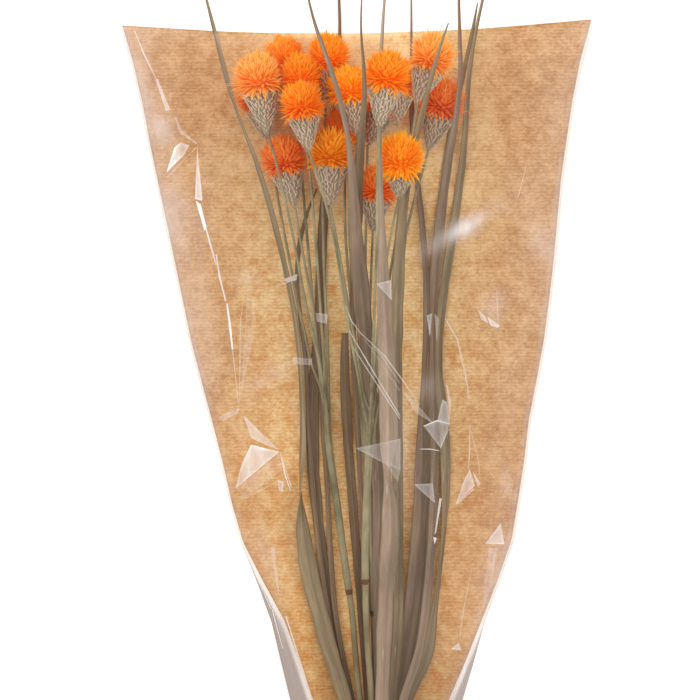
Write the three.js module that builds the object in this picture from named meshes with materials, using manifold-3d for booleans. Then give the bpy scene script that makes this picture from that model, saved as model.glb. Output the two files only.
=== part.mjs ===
// Dried thistle bouquet in a flower sleeve of kraft paper and clear film, lying on its paper back.
// Millimetres, +Z up. The flowers point along +Y and the cut stems along -Y.
// The stems and leaves are laid down one by one, from the back of the bouquet to its front.
import * as THREE from "three";
import { mergeVertices } from "three/addons/utils/BufferGeometryUtils.js";
import Module from "manifold-3d";

const wasm = await Module();
wasm.setup();

// Driving dimensions
const GRID_STEP = 0.74; // one step of the drawing grid, on which every outline and route is drawn
const GRID_MIDDLE = 350;
const GAP = 0.3; // clear space between two pieces that touch
const SHEET = 0.6; // thickness of the paper and of the film
const SEAL = 4; // width of the strip where the film is sealed to the paper
const BLADE = 0.8; // thickness of a leaf
const STALK_RADIUS = 2.4; // the main stalk of a plant
const BRANCH_RADIUS = 1.3;
const LEAF_BEND = 0.004; // how sharply a leaf bends over what it lies on
const RISING_BEND = 0.012; // and where it comes up between two stems
const PARTING = 45; // a branch leaves its stalk within this length
const RISING = 15; // a leaf passes up between two stems within this length
const RISE_FROM = 9;
const CORE_RADIUS = 13.2; // the bloom without its bristles
const BRISTLE_RADIUS = 18.4; // the bloom with them
const RIM_RADIUS = 12.8; // mouth of the calyx
const RIM_DEPTH = 9; // how far the mouth lies below the middle of the bloom
const TIE_V = 790; // where the band holds the stems
const TIE_U = 378;
const BAND_WIDTH = 6;
const BAND_THICKNESS = 1.2;
const SLEEVE_FOOT = 822; // lower end of the sleeve

const KRAFT = new THREE.MeshStandardMaterial({ color: 0xd9a66c, roughness: 0.85, metalness: 0 });
const FILM = new THREE.MeshStandardMaterial({
  color: 0xeee6e2, roughness: 0.15, metalness: 0, transparent: true, opacity: 0.3,
});
const OLIVE_LEAF = new THREE.MeshStandardMaterial({ color: 0x8d8264, roughness: 0.8, metalness: 0 });
const BROWN_LEAF = new THREE.MeshStandardMaterial({ color: 0x7a6758, roughness: 0.8, metalness: 0 });
const STEM = new THREE.MeshStandardMaterial({ color: 0x9a9474, roughness: 0.8, metalness: 0 });
const ORANGE = new THREE.MeshStandardMaterial({ color: 0xff7a14, roughness: 0.9, metalness: 0 });
const DEEP_ORANGE = new THREE.MeshStandardMaterial({ color: 0xe2500f, roughness: 0.9, metalness: 0 });
const RUBBER = new THREE.MeshStandardMaterial({ color: 0xb08d5a, roughness: 0.7, metalness: 0 });

// Outlines of the sleeve: the grid's u at each v
const PAPER_LEFT = [[22, 120], [80, 137], [150, 150], [220, 165], [345, 191], [406, 207], [450, 219],
  [517, 234], [551, 245], [573, 257], [613, 281], [656, 297], [700, 312], [770, 334], [822, 344]];
const PAPER_RIGHT = [[17, 594], [40, 586], [94, 575], [174, 563], [274, 554], [350, 544], [421, 530],
  [466, 525], [540, 513], [562, 506], [591, 495], [618, 484], [647, 473], [700, 450], [770, 428], [822, 416]];
const FILM_LEFT = [[22, 118], [80, 135], [150, 148], [220, 163], [345, 189], [450, 217], [517, 232],
  [551, 243], [609, 268], [647, 277], [700, 290], [770, 308], [822, 318]];
const FILM_RIGHT = [[17, 596], [94, 577], [174, 565], [274, 556], [350, 546], [421, 532], [466, 527],
  [540, 515], [562, 508], [591, 497], [620, 486], [651, 478], [700, 463], [770, 446], [822, 434]];
const PAPER_TOP = [[-1, 24], [-0.5, 31], [0, 32], [0.5, 28], [1, 18]];
const FILM_TOP = [[-1, 25], [-0.5, 38], [0, 45], [0.5, 38], [1, 19]];
const PAPER_RISE = [[20, 8], [300, 7], [550, 5], [700, 3], [822, 3]]; // how far its edges curl up
const FOLD_RISE = [[20, 3], [400, 4], [560, 7], [700, 14], [822, 14]]; // height of the film's side folds
const PAPER_FLAT = 0.5; // share of the paper's half width that lies flat
const PAPER_CELLS = [10, 20]; // across and along
const FILM_CELLS = [16, 20];
const LEAST_CROWN = 34;

// Leaves: grid u, v, width and roll in degrees, from the foot to the tip.
// One with `rises` lies under other pieces up to that v and over them beyond it.
const LEAVES = [
  { name: "leaf_left_dark", material: BROWN_LEAF, tie: -6.5, tipLift: 3,
    path: [[352, 720, 8, 0], [331, 610, 8, 10], [317, 510, 10, -10], [312, 420, 12, 0], [319, 330, 10, 15],
      [322, 240, 9, -10], [328, 170, 7, 0], [337, 90, 4, 0], [340, 30, 3, 0], [337, -45, 1, 0]] },
  { name: "leaf_left_slim", material: BROWN_LEAF, tie: -2, tipLift: 4,
    path: [[357, 720, 5, 0], [335, 610, 5, 0], [328, 500, 5.5, 20], [322, 400, 5, 0], [319, 300, 3, 0],
      [318, 240, 1.2, 0]] },
  { name: "leaf_left_shred", material: BROWN_LEAF, tie: -10.5, tipLift: 6,
    path: [[349, 720, 3, 0], [326, 600, 3.5, 0], [312, 480, 3.5, 0], [305, 352, 3.5, 0], [297, 285, 3, 0],
      [302, 230, 3, 0], [317, 188, 1, 0]] },
  { name: "leaf_right_purple", material: BROWN_LEAF, tie: 3, tipLift: 8,
    path: [[393, 715, 10, 10], [404, 660, 13, 0], [413, 600, 15, -8], [420, 520, 13.5, 0], [422, 450, 12, 30],
      [425, 370, 8, 55], [427, 300, 6, 20], [424, 240, 5.5, 0], [417, 170, 5, 0], [412, 110, 4.5, 0],
      [412, 40, 2, 0], [411, -55, 1, 0]] },
  { name: "leaf_right_inner", material: OLIVE_LEAF, tie: 7, tipLift: 16,
    path: [[399, 715, 8, 0], [417, 640, 8, 0], [428, 540, 8, 0], [431, 440, 9, 15], [433, 350, 8, 0],
      [432, 290, 8, -15], [440, 220, 8, 0], [449, 150, 7, 0], [461, 85, 5, 0], [471, 40, 4, 0], [478, 2, 1, 0]] },
  { name: "leaf_right_tan", material: OLIVE_LEAF, tie: 11, tipLift: 12,
    path: [[402, 715, 10, 0], [426, 660, 12, -15], [434, 612, 9, -50], [442, 555, 7, -70], [446, 480, 9, -20],
      [443, 410, 9, 0], [438, 350, 8, 20], [446, 280, 8, 0], [458, 200, 7, 0], [466, 130, 5, 0],
      [471, 60, 3.5, 0], [482, 5, 2.5, 0], [496, -70, 1, 0]] },
  { name: "leaf_middle_tan", material: OLIVE_LEAF, tie: 3, tipLift: 30,
    path: [[382, 715, 9, 0], [384, 650, 10.5, 0], [387, 580, 13, 10], [391, 520, 14, 25], [388, 478, 12, 65],
      [389, 430, 13.5, 10], [387, 370, 13, 0], [384, 290, 11, -10], [381, 210, 8.5, 0], [379, 120, 6.5, 0],
      [382, 40, 5, 0], [389, -60, 1, 0]] },
  { name: "leaf_right_olive", material: OLIVE_LEAF, tie: 6.5, tipLift: 42,
    path: [[391, 715, 7, 0], [398, 620, 8, 0], [398, 520, 8, 0], [397, 430, 9, 10], [395, 350, 11, 0],
      [400, 250, 11, -10], [405, 190, 8.5, 0], [415, 142, 6.5, 0], [427, 95, 5, 0], [437, 57, 3.5, 0],
      [448, 25, 1, 0]] },
  { name: "leaf_left_long", material: OLIVE_LEAF, tie: -9, tipLift: 20,
    path: [[350, 718, 9, 0], [334, 665, 12, 0], [317, 605, 13, 5], [305, 550, 13, -15], [300, 496, 9, -80],
      [303, 440, 6.5, -160], [299, 350, 6, -180], [288, 280, 6.5, -180], [266, 192, 7, -180],
      [251, 147, 5, -165], [239, 118, 4.5, -115], [226, 75, 6.5, -180], [214, 28, 4.5, -180],
      [196, -40, 1, -180]] },
  { name: "leaf_middle_thin", material: OLIVE_LEAF, tie: -1, tipLift: 60, rises: 262,
    path: [[371, 715, 4, 0], [367, 620, 4, 0], [364, 540, 4, 0], [360, 470, 4, 0], [356, 400, 4, 0],
      [353, 340, 4, 0], [354, 280, 6, 0], [357, 220, 8, 0], [358, 180, 8, 0], [362, 130, 8, 0],
      [365, 90, 5.5, 0], [361, 40, 2.6, 0], [365, -55, 1, 0]] },
  { name: "leaf_right_long", material: OLIVE_LEAF, tie: 9, tipLift: 48,
    path: [[400, 715, 9, 0], [422, 640, 9, 0], [431, 550, 8, 0], [435, 460, 8, 15], [434, 390, 8, 40],
      [433, 325, 8, 50], [438, 250, 10.5, 0], [445, 185, 8.5, 0], [454, 130, 6.5, 0], [461, 70, 5, 0],
      [459, 20, 3, 0], [460, -75, 1, 0]] },
  { name: "leaf_middle_torn", material: BROWN_LEAF, tie: -4, tipLift: 20,
    path: [[369, 715, 5, 0], [362, 620, 5.5, 0], [355, 530, 6.5, 10], [348, 440, 7, 0], [345, 380, 7, -10],
      [345, 333, 5, 0]] },
  { name: "leaf_diagonal", material: BROWN_LEAF, tie: 1.5, tipLift: 62, rises: 322,
    path: [[381, 715, 7, 0], [379, 620, 8, 0], [379, 550, 9, 10], [379, 485, 10, 0], [374, 425, 10, 0],
      [367, 360, 11, -10], [363, 305, 12.5, 0], [356, 240, 11, 0], [352, 175, 8, 0], [344, 118, 6, 0],
      [330, 68, 6.5, 0], [316, 28, 4, 0], [302, -30, 1, 0]] },
];
const LEAF_FEET = 868; // the v at which the leaves are cut

// Plants: the main stalk of each, from the foot to where its last branches part
const PLANTS = [
  { name: "thistle_back", tie: 0.2, path: [[376, 692], [373, 600], [371, 515], [366, 455], [362, 410]] },
  { name: "thistle_left", tie: -4.5,
    path: [[359, 692], [351, 600], [346, 572], [337, 503], [330, 457], [326, 400]] },
  { name: "thistle_right", tie: 4.9, path: [[370, 692], [365, 582], [366, 515], [369, 455], [371, 400]] },
];

// Flower heads: middle of the bloom, foot of the calyx, size, and how far the bloom is raised over the foot.
// Each stands on a branch that leaves its plant's stalk at `parts` and goes through `via`.
const HEADS = [
  { name: "bloom_01", plant: "thistle_left", bloom: [256, 93], foot: [268, 139], size: 0.88, deep: true,
    parts: 425, via: [[312, 365], [297, 300], [279, 205]] },
  { name: "bloom_02", plant: "thistle_left", bloom: [285, 57], foot: [297, 104], size: 0.86,
    parts: 455, via: [[319, 370], [312, 290], [303, 190]] },
  { name: "bloom_03", plant: "thistle_back", bloom: [386, 99], foot: [368, 145], size: 0.88, deep: true,
    parts: 425, via: [[364, 350], [366, 230]] },
  { name: "bloom_04", plant: "thistle_back", bloom: [343, 129], foot: [345, 178], size: 0.88, deep: true,
    parts: 450, via: [[357, 370], [350, 290], [345, 230]] },
  { name: "bloom_05", plant: "thistle_back", bloom: [377, 186], foot: [373, 232], size: 0.86, deep: true,
    parts: 430, via: [[364, 385], [370, 310]] },
  { name: "bloom_06", plant: "thistle_left", bloom: [284, 158], foot: [295, 206], size: 0.93, deep: true,
    parts: 440, via: [[321, 370], [311, 296], [300, 238]] },
  { name: "bloom_07", plant: "thistle_right", bloom: [401, 80], foot: [398, 122], size: 0.84, deep: true,
    parts: 480, via: [[379, 400], [391, 310], [400, 200]] },
  { name: "bloom_08", plant: "thistle_left", bloom: [328, 56], foot: [326, 104], size: 0.9,
    parts: 450, via: [[329, 370], [325, 290], [322, 190]] },
  { name: "bloom_09", plant: "thistle_left", bloom: [300, 76], foot: [304, 123], size: 0.9,
    parts: 435, via: [[324, 360], [318, 270], [311, 180]] },
  { name: "bloom_10", plant: "thistle_back", bloom: [349, 88], foot: [357, 135], size: 0.9,
    parts: 440, via: [[361, 350], [360, 230]] },
  { name: "bloom_11", plant: "thistle_right", bloom: [443, 101], foot: [429, 149], size: 0.93, deep: true,
    parts: 460, via: [[376, 385], [393, 290], [413, 205]] },
  { name: "bloom_12", plant: "thistle_right", bloom: [432, 57], foot: [417, 103], size: 0.93,
    parts: 450, via: [[375, 370], [389, 280], [406, 180]] },
  { name: "bloom_13", plant: "thistle_right", bloom: [331, 152], foot: [330, 206], size: 0.97,
    parts: 445, via: [[359, 362], [346, 292], [338, 245]] },
  { name: "bloom_14", plant: "thistle_right", bloom: [400, 158], foot: [399, 197], size: 0.9, raised: 20,
    parts: 430, via: [[376, 350], [383, 280], [391, 235]] },
  { name: "bloom_15", plant: "thistle_right", bloom: [302, 104], foot: [309, 151], size: 0.9,
    parts: 460, via: [[361, 390], [348, 322], [334, 235], [321, 185]] },
  { name: "bloom_16", plant: "thistle_right", bloom: [387, 77], foot: [379, 127], size: 0.95,
    parts: 425, via: [[373, 350], [377, 240], [377, 180]] },
  { name: "bloom_17", plant: "thistle_left", bloom: [259, 77], foot: [268, 133], size: 1.02,
    parts: 430, via: [[320, 365], [306, 305], [294, 240], [281, 180]] },
];
const STEM_FEET = 905; // the v at which the stems are cut

// The order in which the pieces lie on one another
const ORDER = ["leaf_left_dark", "leaf_left_slim", "leaf_left_shred", "leaf_right_inner",
  "leaf_right_purple", "leaf_right_tan", "leaf_middle_torn", "thistle_back", "thistle_left", "bloom_01",
  "bloom_02", "bloom_03", "bloom_04", "bloom_05", "bloom_06", "bloom_08", "bloom_09", "bloom_10",
  "leaf_middle_thin", "leaf_diagonal", "thistle_right", "bloom_07", "bloom_11", "bloom_12",
  "leaf_right_olive", "bloom_14", "leaf_middle_tan", "leaf_left_long", "bloom_13", "bloom_15",
  "bloom_16", "bloom_17", "leaf_middle_thin", "leaf_right_long", "leaf_diagonal"];

const gridX = (u) => (u - GRID_MIDDLE) * GRID_STEP;
const gridY = (v) => (GRID_MIDDLE - v) * GRID_STEP;
const gridV = (y) => GRID_MIDDLE - y / GRID_STEP;
const mix = (a, b, t) => a + (b - a) * t;

// The value at `at` on a line drawn through [place, value] pairs.
function along(pairs, at) {
  const next = pairs.findIndex(([place]) => place >= at);
  if (next === 0) return pairs[0][1];
  if (next < 0) return pairs[pairs.length - 1][1];
  const [from, to] = [pairs[next - 1], pairs[next]];
  return mix(from[1], to[1], (at - from[0]) / (to[0] - from[0]));
}

// Random numbers from 0 to 1 that come out the same in every run.
function randomFrom(seed) {
  let state = seed;
  return () => {
    state = (state * 1664525 + 1013904223) % 4294967296;
    return state / 4294967296;
  };
}

// A closed body from rings of points that all have the same count, with a lid on each end.
// The faces of side `turned` are split along their other diagonal.
function loft(rings, turned = -1) {
  const count = rings[0].length;
  const positions = rings.flat().flatMap((p) => [p.x, p.y, p.z]);
  const faces = [];
  for (let r = 0; r + 1 < rings.length; r++) {
    for (let i = 0; i < count; i++) {
      const [a, b] = [r * count + i, r * count + ((i + 1) % count)];
      if (i === turned) faces.push(a, b, a + count, b, b + count, a + count);
      else faces.push(a, b, b + count, a, b + count, a + count);
    }
  }
  const last = (rings.length - 1) * count;
  for (let i = 1; i + 1 < count; i++) {
    faces.push(0, i + 1, i, last, last + i, last + i + 1);
  }
  const geometry = new THREE.BufferGeometry();
  geometry.setAttribute("position", new THREE.Float32BufferAttribute(positions, 3));
  geometry.setIndex(faces);
  return geometry;
}

// A sheet of the given thickness from rows of middle points and their upward directions.
function sheet(rows, normals, thickness) {
  const shifted = (side) => rows.map((row, r) =>
    row.map((p, c) => p.clone().addScaledVector(normals[r][c], (side * thickness) / 2)));
  const [upper, lower] = [shifted(1), shifted(-1)];
  const [height, width] = [rows.length, rows[0].length];
  const positions = [...upper.flat(), ...lower.flat()].flatMap((p) => [p.x, p.y, p.z]);
  const under = height * width;
  const faces = [];
  for (let r = 0; r + 1 < height; r++) {
    for (let c = 0; c + 1 < width; c++) {
      const [a, b, d, e] = [r * width + c, r * width + c + 1, (r + 1) * width + c, (r + 1) * width + c + 1];
      faces.push(a, d, e, a, e, b);
      faces.push(under + a, under + e, under + d, under + a, under + b, under + e);
    }
  }
  const wall = (a, b) => faces.push(a, b, under + b, a, under + b, under + a);
  for (let c = 0; c + 1 < width; c++) {
    wall(c, c + 1);
    wall((height - 1) * width + c + 1, (height - 1) * width + c);
  }
  for (let r = 0; r + 1 < height; r++) {
    wall((r + 1) * width, r * width);
    wall(r * width + width - 1, (r + 1) * width + width - 1);
  }
  const geometry = new THREE.BufferGeometry();
  geometry.setAttribute("position", new THREE.Float32BufferAttribute(positions, 3));
  geometry.setIndex(faces);
  return geometry;
}

function solidOf(geometry) {
  const bare = geometry.clone();
  bare.deleteAttribute("normal");
  bare.deleteAttribute("uv");
  const merged = mergeVertices(bare, 1e-4);
  return new wasm.Manifold(new wasm.Mesh({
    numProp: 3,
    vertProperties: new Float32Array(merged.attributes.position.array),
    triVerts: new Uint32Array(merged.index.array),
  }));
}

function geometryOf(solid) {
  const mesh = solid.getMesh();
  const geometry = new THREE.BufferGeometry();
  geometry.setAttribute("position", new THREE.Float32BufferAttribute(mesh.vertProperties, 3));
  geometry.setIndex(new THREE.BufferAttribute(mesh.triVerts, 1));
  return geometry;
}

// The least line over all the points [place, height] that never bends upwards: a stiff stem over bumps.
function bridge(points) {
  const held = [];
  for (const point of points) {
    while (held.length > 1) {
      const [a, b] = held.slice(-2);
      const rises = (b[1] - a[1]) * (point[0] - a[0]) <= (point[1] - a[1]) * (b[0] - a[0]);
      if (!rises) break;
      held.pop();
    }
    held.push(point);
  }
  return held;
}

// How high the pieces laid so far reach, on a grid of 1 mm cells.
class Pile {
  constructor() {
    this.low = new THREE.Vector2(-220, -460);
    this.wide = 440;
    this.cells = new Float32Array(this.wide * 840);
  }
  cell(x, y) {
    return Math.round(y - this.low.y) * this.wide + Math.round(x - this.low.x);
  }
  top(x, y) {
    return this.cells[this.cell(x, y)];
  }
  raise(x, y, z) {
    const cell = this.cell(x, y);
    this.cells[cell] = Math.max(this.cells[cell], z);
  }
}
const pile = new Pile(); // stems, leaves and calyxes
const bloomPile = new Pile();

// Sleeve: paper back
function paperPoint(across, share) {
  const v = mix(along(PAPER_TOP, across), SLEEVE_FOOT, share);
  const x = gridX(mix(along(PAPER_LEFT, v), along(PAPER_RIGHT, v), (across + 1) / 2));
  return new THREE.Vector3(x, gridY(v), paperCurl(across, v) + SHEET / 2);
}

function paperCurl(across, v) {
  const t = Math.max(0, (Math.abs(across) - PAPER_FLAT) / (1 - PAPER_FLAT));
  return along(PAPER_RISE, v) * t * t;
}

function paperTopAt(x, y) {
  const v = gridV(y);
  const [left, right] = [gridX(along(PAPER_LEFT, v)), gridX(along(PAPER_RIGHT, v))];
  const across = ((x - left) / (right - left)) * 2 - 1;
  const covered = Math.abs(across) <= 1.02 && v <= SLEEVE_FOOT + 2 && v >= 14;
  return covered ? paperCurl(Math.min(1, Math.abs(across)), v) + SHEET : 0;
}

function paperSheet() {
  const [across, down] = PAPER_CELLS;
  const rows = [];
  for (let r = 0; r <= down; r++) {
    rows.push([]);
    for (let c = 0; c <= across; c++) rows[r].push(paperPoint((c / across) * 2 - 1, r / down));
  }
  const up = new THREE.Vector3(0, 0, 1);
  return sheet(rows, rows.map((row) => row.map(() => up)), SHEET);
}

// Sleeve: clear film, from seal strip to seal strip over the bouquet
const ARCH_POWER = 2.6;
const FILM_LIFT = SHEET + GAP + SHEET / 2; // middle of the film over the paper's underside
const ARCH_COLUMNS = FILM_CELLS[0] + 1;

function foldHeight(v) {
  return along(PAPER_RISE, v) + FILM_LIFT + along(FOLD_RISE, v);
}

function filmPlace(across, share) {
  const v = mix(along(FILM_TOP, across), SLEEVE_FOOT, share);
  const x = gridX(mix(along(FILM_LEFT, v), along(FILM_RIGHT, v), (across + 1) / 2));
  return [x, gridY(v), v];
}

const archShare = (across) => 1 - Math.abs(across) ** ARCH_POWER;

// The height of the film's middle in each row, so that it clears everything in the sleeve.
function crowns() {
  const needs = [];
  for (let r = 0; r <= FILM_CELLS[1]; r++) {
    let need = LEAST_CROWN;
    for (let part = -1; part <= 1; part += 0.05) {
      const share = THREE.MathUtils.clamp((r + part) / FILM_CELLS[1], 0, 1);
      for (let across = -0.9; across <= 0.9; across += 0.01) {
        const [x, y, v] = filmPlace(across, share);
        const over = Math.max(pile.top(x, y), bloomPile.top(x, y)) + 2 * GAP + SHEET / 2;
        const fold = foldHeight(v);
        if (over > fold) need = Math.max(need, fold + (over - fold) / archShare(Math.abs(across) + 0.04));
      }
    }
    needs.push([r, need]);
  }
  const held = bridge(needs);
  return needs.map(([r]) => along(held, r));
}

function filmRow(r, crown) {
  const share = r / FILM_CELLS[1];
  const arch = [];
  for (let c = 0; c < ARCH_COLUMNS; c++) {
    const across = (c / (ARCH_COLUMNS - 1)) * 2 - 1;
    const [x, y, v] = filmPlace(across, share);
    arch.push(new THREE.Vector3(x, y, mix(foldHeight(v), crown, archShare(across))));
  }
  const strip = (side) => {
    const v = mix(along(FILM_TOP, side), SLEEVE_FOOT, share);
    const paperEdge = gridX(along(side < 0 ? PAPER_LEFT : PAPER_RIGHT, v));
    const half = Math.abs(gridX(along(PAPER_RIGHT, v)) - gridX(along(PAPER_LEFT, v))) / 2;
    const fold = gridX(along(side < 0 ? FILM_LEFT : FILM_RIGHT, v));
    const y = gridY(v);
    const on = (inwards) => paperCurl(1 - inwards / half, v) + FILM_LIFT;
    return [
      new THREE.Vector3(paperEdge - side * SEAL, y, on(SEAL)),
      new THREE.Vector3(paperEdge, y, on(0)),
      new THREE.Vector3(fold, y, on(0) + 0.4),
    ];
  };
  return [...strip(-1), ...arch, ...strip(1).reverse()];
}

function filmSheet() {
  const rows = crowns().map((crown, r) => filmRow(r, crown));
  const normals = rows.map((row) => row.map((p, c) => {
    const before = row[Math.max(0, c - 1)];
    const after = row[Math.min(row.length - 1, c + 1)];
    return new THREE.Vector3(before.z - after.z, 0, after.x - before.x).normalize();
  }));
  return sheet(rows, normals, SHEET);
}

// Routes: stations on a smooth line through the drawn points
function stationsOf(drawn, spacing) {
  const places = drawn.map(([u, v, width]) => new THREE.Vector3(gridX(u), gridY(v), width));
  const rolls = drawn.map(([, , , roll = 0], i) => new THREE.Vector3(roll, i * 1e-3, 0));
  const line = new THREE.CatmullRomCurve3(places);
  const turn = new THREE.CatmullRomCurve3(rolls);
  const count = Math.max(drawn.length - 1, Math.round(line.getLength() / spacing));
  return Array.from({ length: count + 1 }, (_, i) => {
    const place = line.getPoint(i / count);
    return {
      x: place.x, y: place.y, width: place.z,
      roll: THREE.MathUtils.degToRad(turn.getPoint(i / count).x),
    };
  });
}

// Small steps between stations, with the reach to each side and below.
function stepsOf(stations) {
  const steps = [];
  let run = 0;
  for (let i = 0; i + 1 < stations.length; i++) {
    const [a, b] = [stations[i], stations[i + 1]];
    const length = Math.hypot(b.x - a.x, b.y - a.y);
    const [sideX, sideY] = [(b.y - a.y) / length, (a.x - b.x) / length];
    const count = Math.ceil(length);
    for (let k = 0; k <= count; k++) {
      const t = k / count;
      steps.push({
        i, t, sideX, sideY, x: mix(a.x, b.x, t), y: mix(a.y, b.y, t),
        side: mix(a.side, b.side, t), deep: mix(a.deep, b.deep, t), round: a.round, run: run + length * t,
      });
    }
    run += length;
  }
  return steps;
}

// Calls visit(x, y, depth) over a step's width. Depth is how far the piece reaches up and down there.
function acrossStep(step, visit) {
  const reach = step.side + 0.2;
  const count = Math.ceil(reach / 0.8);
  for (let k = -count; k <= count; k++) {
    const off = (k / count) * reach;
    const depth = step.round ? Math.sqrt(Math.max(0, reach * reach - off * off)) : step.deep;
    visit(step.x + step.sideX * off, step.y + step.sideY * off, depth);
  }
}

function needOf(step) {
  let need = 0;
  acrossStep(step, (x, y, depth) => {
    need = Math.max(need, pile.top(x, y) + depth + GAP, bloomPile.top(x, y) + depth + GAP);
  });
  return need;
}

// A limp leaf over the same points: it bends down on both sides of each.
const drape = (bend) => (points) => {
  const over = (place, [at, height]) => height - bend * (place - at) ** 2;
  return points.map(([place]) => [place, Math.max(...points.map((point) => over(place, point)))]);
};

// Gives each station its height over what lies below it. ends holds the least height of the first and last.
// Within `free` of its first station a piece takes no account of what lies below.
// Returns how far the piece could still sink before it touches.
function layDown(stations, ends, rest, free = 0) {
  const steps = stepsOf(stations);
  const needs = steps.map((step) => (step.run < free ? 0 : needOf(step)));
  const atStation = stations.map(() => 0);
  steps.forEach((step, k) => {
    for (const i of [step.i, step.i + 1]) atStation[i] = Math.max(atStation[i], needs[k]);
  });
  atStation[0] = free > 0 ? ends[0] : Math.max(atStation[0], ends[0]);
  atStation[atStation.length - 1] = Math.max(atStation[atStation.length - 1], ends[1]);
  const held = rest(stations.map((s, i) => [s.y, atStation[i]]));
  stations.forEach((s) => (s.z = along(held, s.y)));
  return Math.min(...steps.map((step, k) => mix(stations[step.i].z, stations[step.i + 1].z, step.t) - needs[k]));
}

function pressInto(stations) {
  for (const step of stepsOf(stations)) {
    const z = mix(stations[step.i].z, stations[step.i + 1].z, step.t);
    acrossStep(step, (x, y, depth) => pile.raise(x, y, z + depth));
  }
}

// Leaves
function leafStations(leaf) {
  const foot = [[TIE_U + (leaf.tie * 1.6) / GRID_STEP, LEAF_FEET, 4], [TIE_U + leaf.tie / GRID_STEP, TIE_V, 4]];
  const stations = stationsOf([...foot, ...leaf.path], 40);
  for (const s of stations) {
    s.side = Math.abs(Math.cos(s.roll)) * s.width / 2 + BLADE / 2;
    s.deep = Math.abs(Math.sin(s.roll)) * s.width / 2 + BLADE / 2;
  }
  return stations;
}

// A leaf that rises is laid in two turns, its foot first.
function layLeaf(leaf) {
  const begun = laid.get(leaf.name);
  const stations = begun ?? leafStations(leaf);
  const turn = leaf.rises ? stations.findIndex((s) => gridV(s.y) < leaf.rises) : stations.length - 1;
  const part = begun ? stations.slice(turn) : stations.slice(0, turn + 1);
  if (begun) {
    layDown(part, [part[0].z, leaf.tipLift], drape(RISING_BEND), RISING);
  } else {
    const sink = layDown(part, [4, leaf.rises ? RISE_FROM : leaf.tipLift], drape(LEAF_BEND));
    part.forEach((s) => (s.z -= sink));
  }
  pressInto(part);
  return stations;
}

// Both faces of a twisted blade are split alike, so that they stay apart.
const UNDERSIDE = 3;

function leafBlade(stations) {
  return loft(stations.map((s) => {
    const wide = new THREE.Vector3(Math.cos(s.roll), 0, Math.sin(s.roll)).multiplyScalar(s.width / 2);
    const thick = new THREE.Vector3(-Math.sin(s.roll), 0, Math.cos(s.roll)).multiplyScalar(BLADE / 2);
    const middle = new THREE.Vector3(s.x, s.y, s.z);
    const corner = (a, b) => middle.clone().addScaledVector(wide, a).addScaledVector(thick, b);
    return [corner(-1, -1), corner(-1, 1), corner(1, 1), corner(1, -1)];
  }), UNDERSIDE);
}

// Plants
function layPlant(plant) {
  const cut = [TIE_U + (plant.tie * 1.7) / GRID_STEP, STEM_FEET, 0];
  const tied = [TIE_U + plant.tie / GRID_STEP, TIE_V, 0];
  const stations = stationsOf([cut, tied, ...plant.path.map(([u, v]) => [u, v, 0])], 55);
  for (const s of stations) Object.assign(s, { side: STALK_RADIUS, deep: STALK_RADIUS, round: true });
  layDown(stations, [6, 0], bridge);
  pressInto(stations);
  return stations;
}

// The place on a plant's stalk at v
function stalkAt(plant, v) {
  const stations = laid.get(plant);
  const read = (key) => along(stations.map((s) => [s.y, s[key]]), gridY(v));
  return new THREE.Vector3(read("x"), gridY(v), read("z"));
}

const calyxRadius = (share) => mix(BRANCH_RADIUS, RIM_RADIUS, Math.min(1, share) ** 0.75);

// The least height of the calyx foot, so that calyx and bloom clear what lies below them.
function headNeed(head, foot, bloom) {
  const raised = head.raised ?? 0;
  let need = 0;
  for (let share = 0; share <= head.rim; share += 0.04) {
    const reach = calyxRadius(share / head.rim) * head.size + 0.9;
    roundNeed(foot.clone().lerp(bloom, share), reach, [pile, bloomPile], (z) => {
      need = Math.max(need, z - raised * share);
    });
  }
  roundNeed(bloom, CORE_RADIUS * head.size + 0.7, [pile], (z) => (need = Math.max(need, z - raised)));
  for (const other of HEADS.filter((h) => h.centre && h !== head)) {
    const flat = Math.hypot(other.centre.x - bloom.x, other.centre.y - bloom.y);
    const apart = CORE_RADIUS * (head.size + other.size) + 1.4;
    if (flat < apart) need = Math.max(need, other.centre.z + Math.sqrt(apart ** 2 - flat ** 2) - raised);
  }
  return need;
}

function roundNeed(middle, reach, piles, found) {
  for (let dx = -reach; dx <= reach; dx += 1) {
    for (let dy = -reach; dy <= reach; dy += 1) {
      const off = Math.hypot(dx, dy);
      if (off > reach) continue;
      const top = Math.max(...piles.map((p) => p.top(middle.x + dx, middle.y + dy)));
      found(top + Math.sqrt(reach * reach - off * off) + GAP);
    }
  }
}

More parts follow.
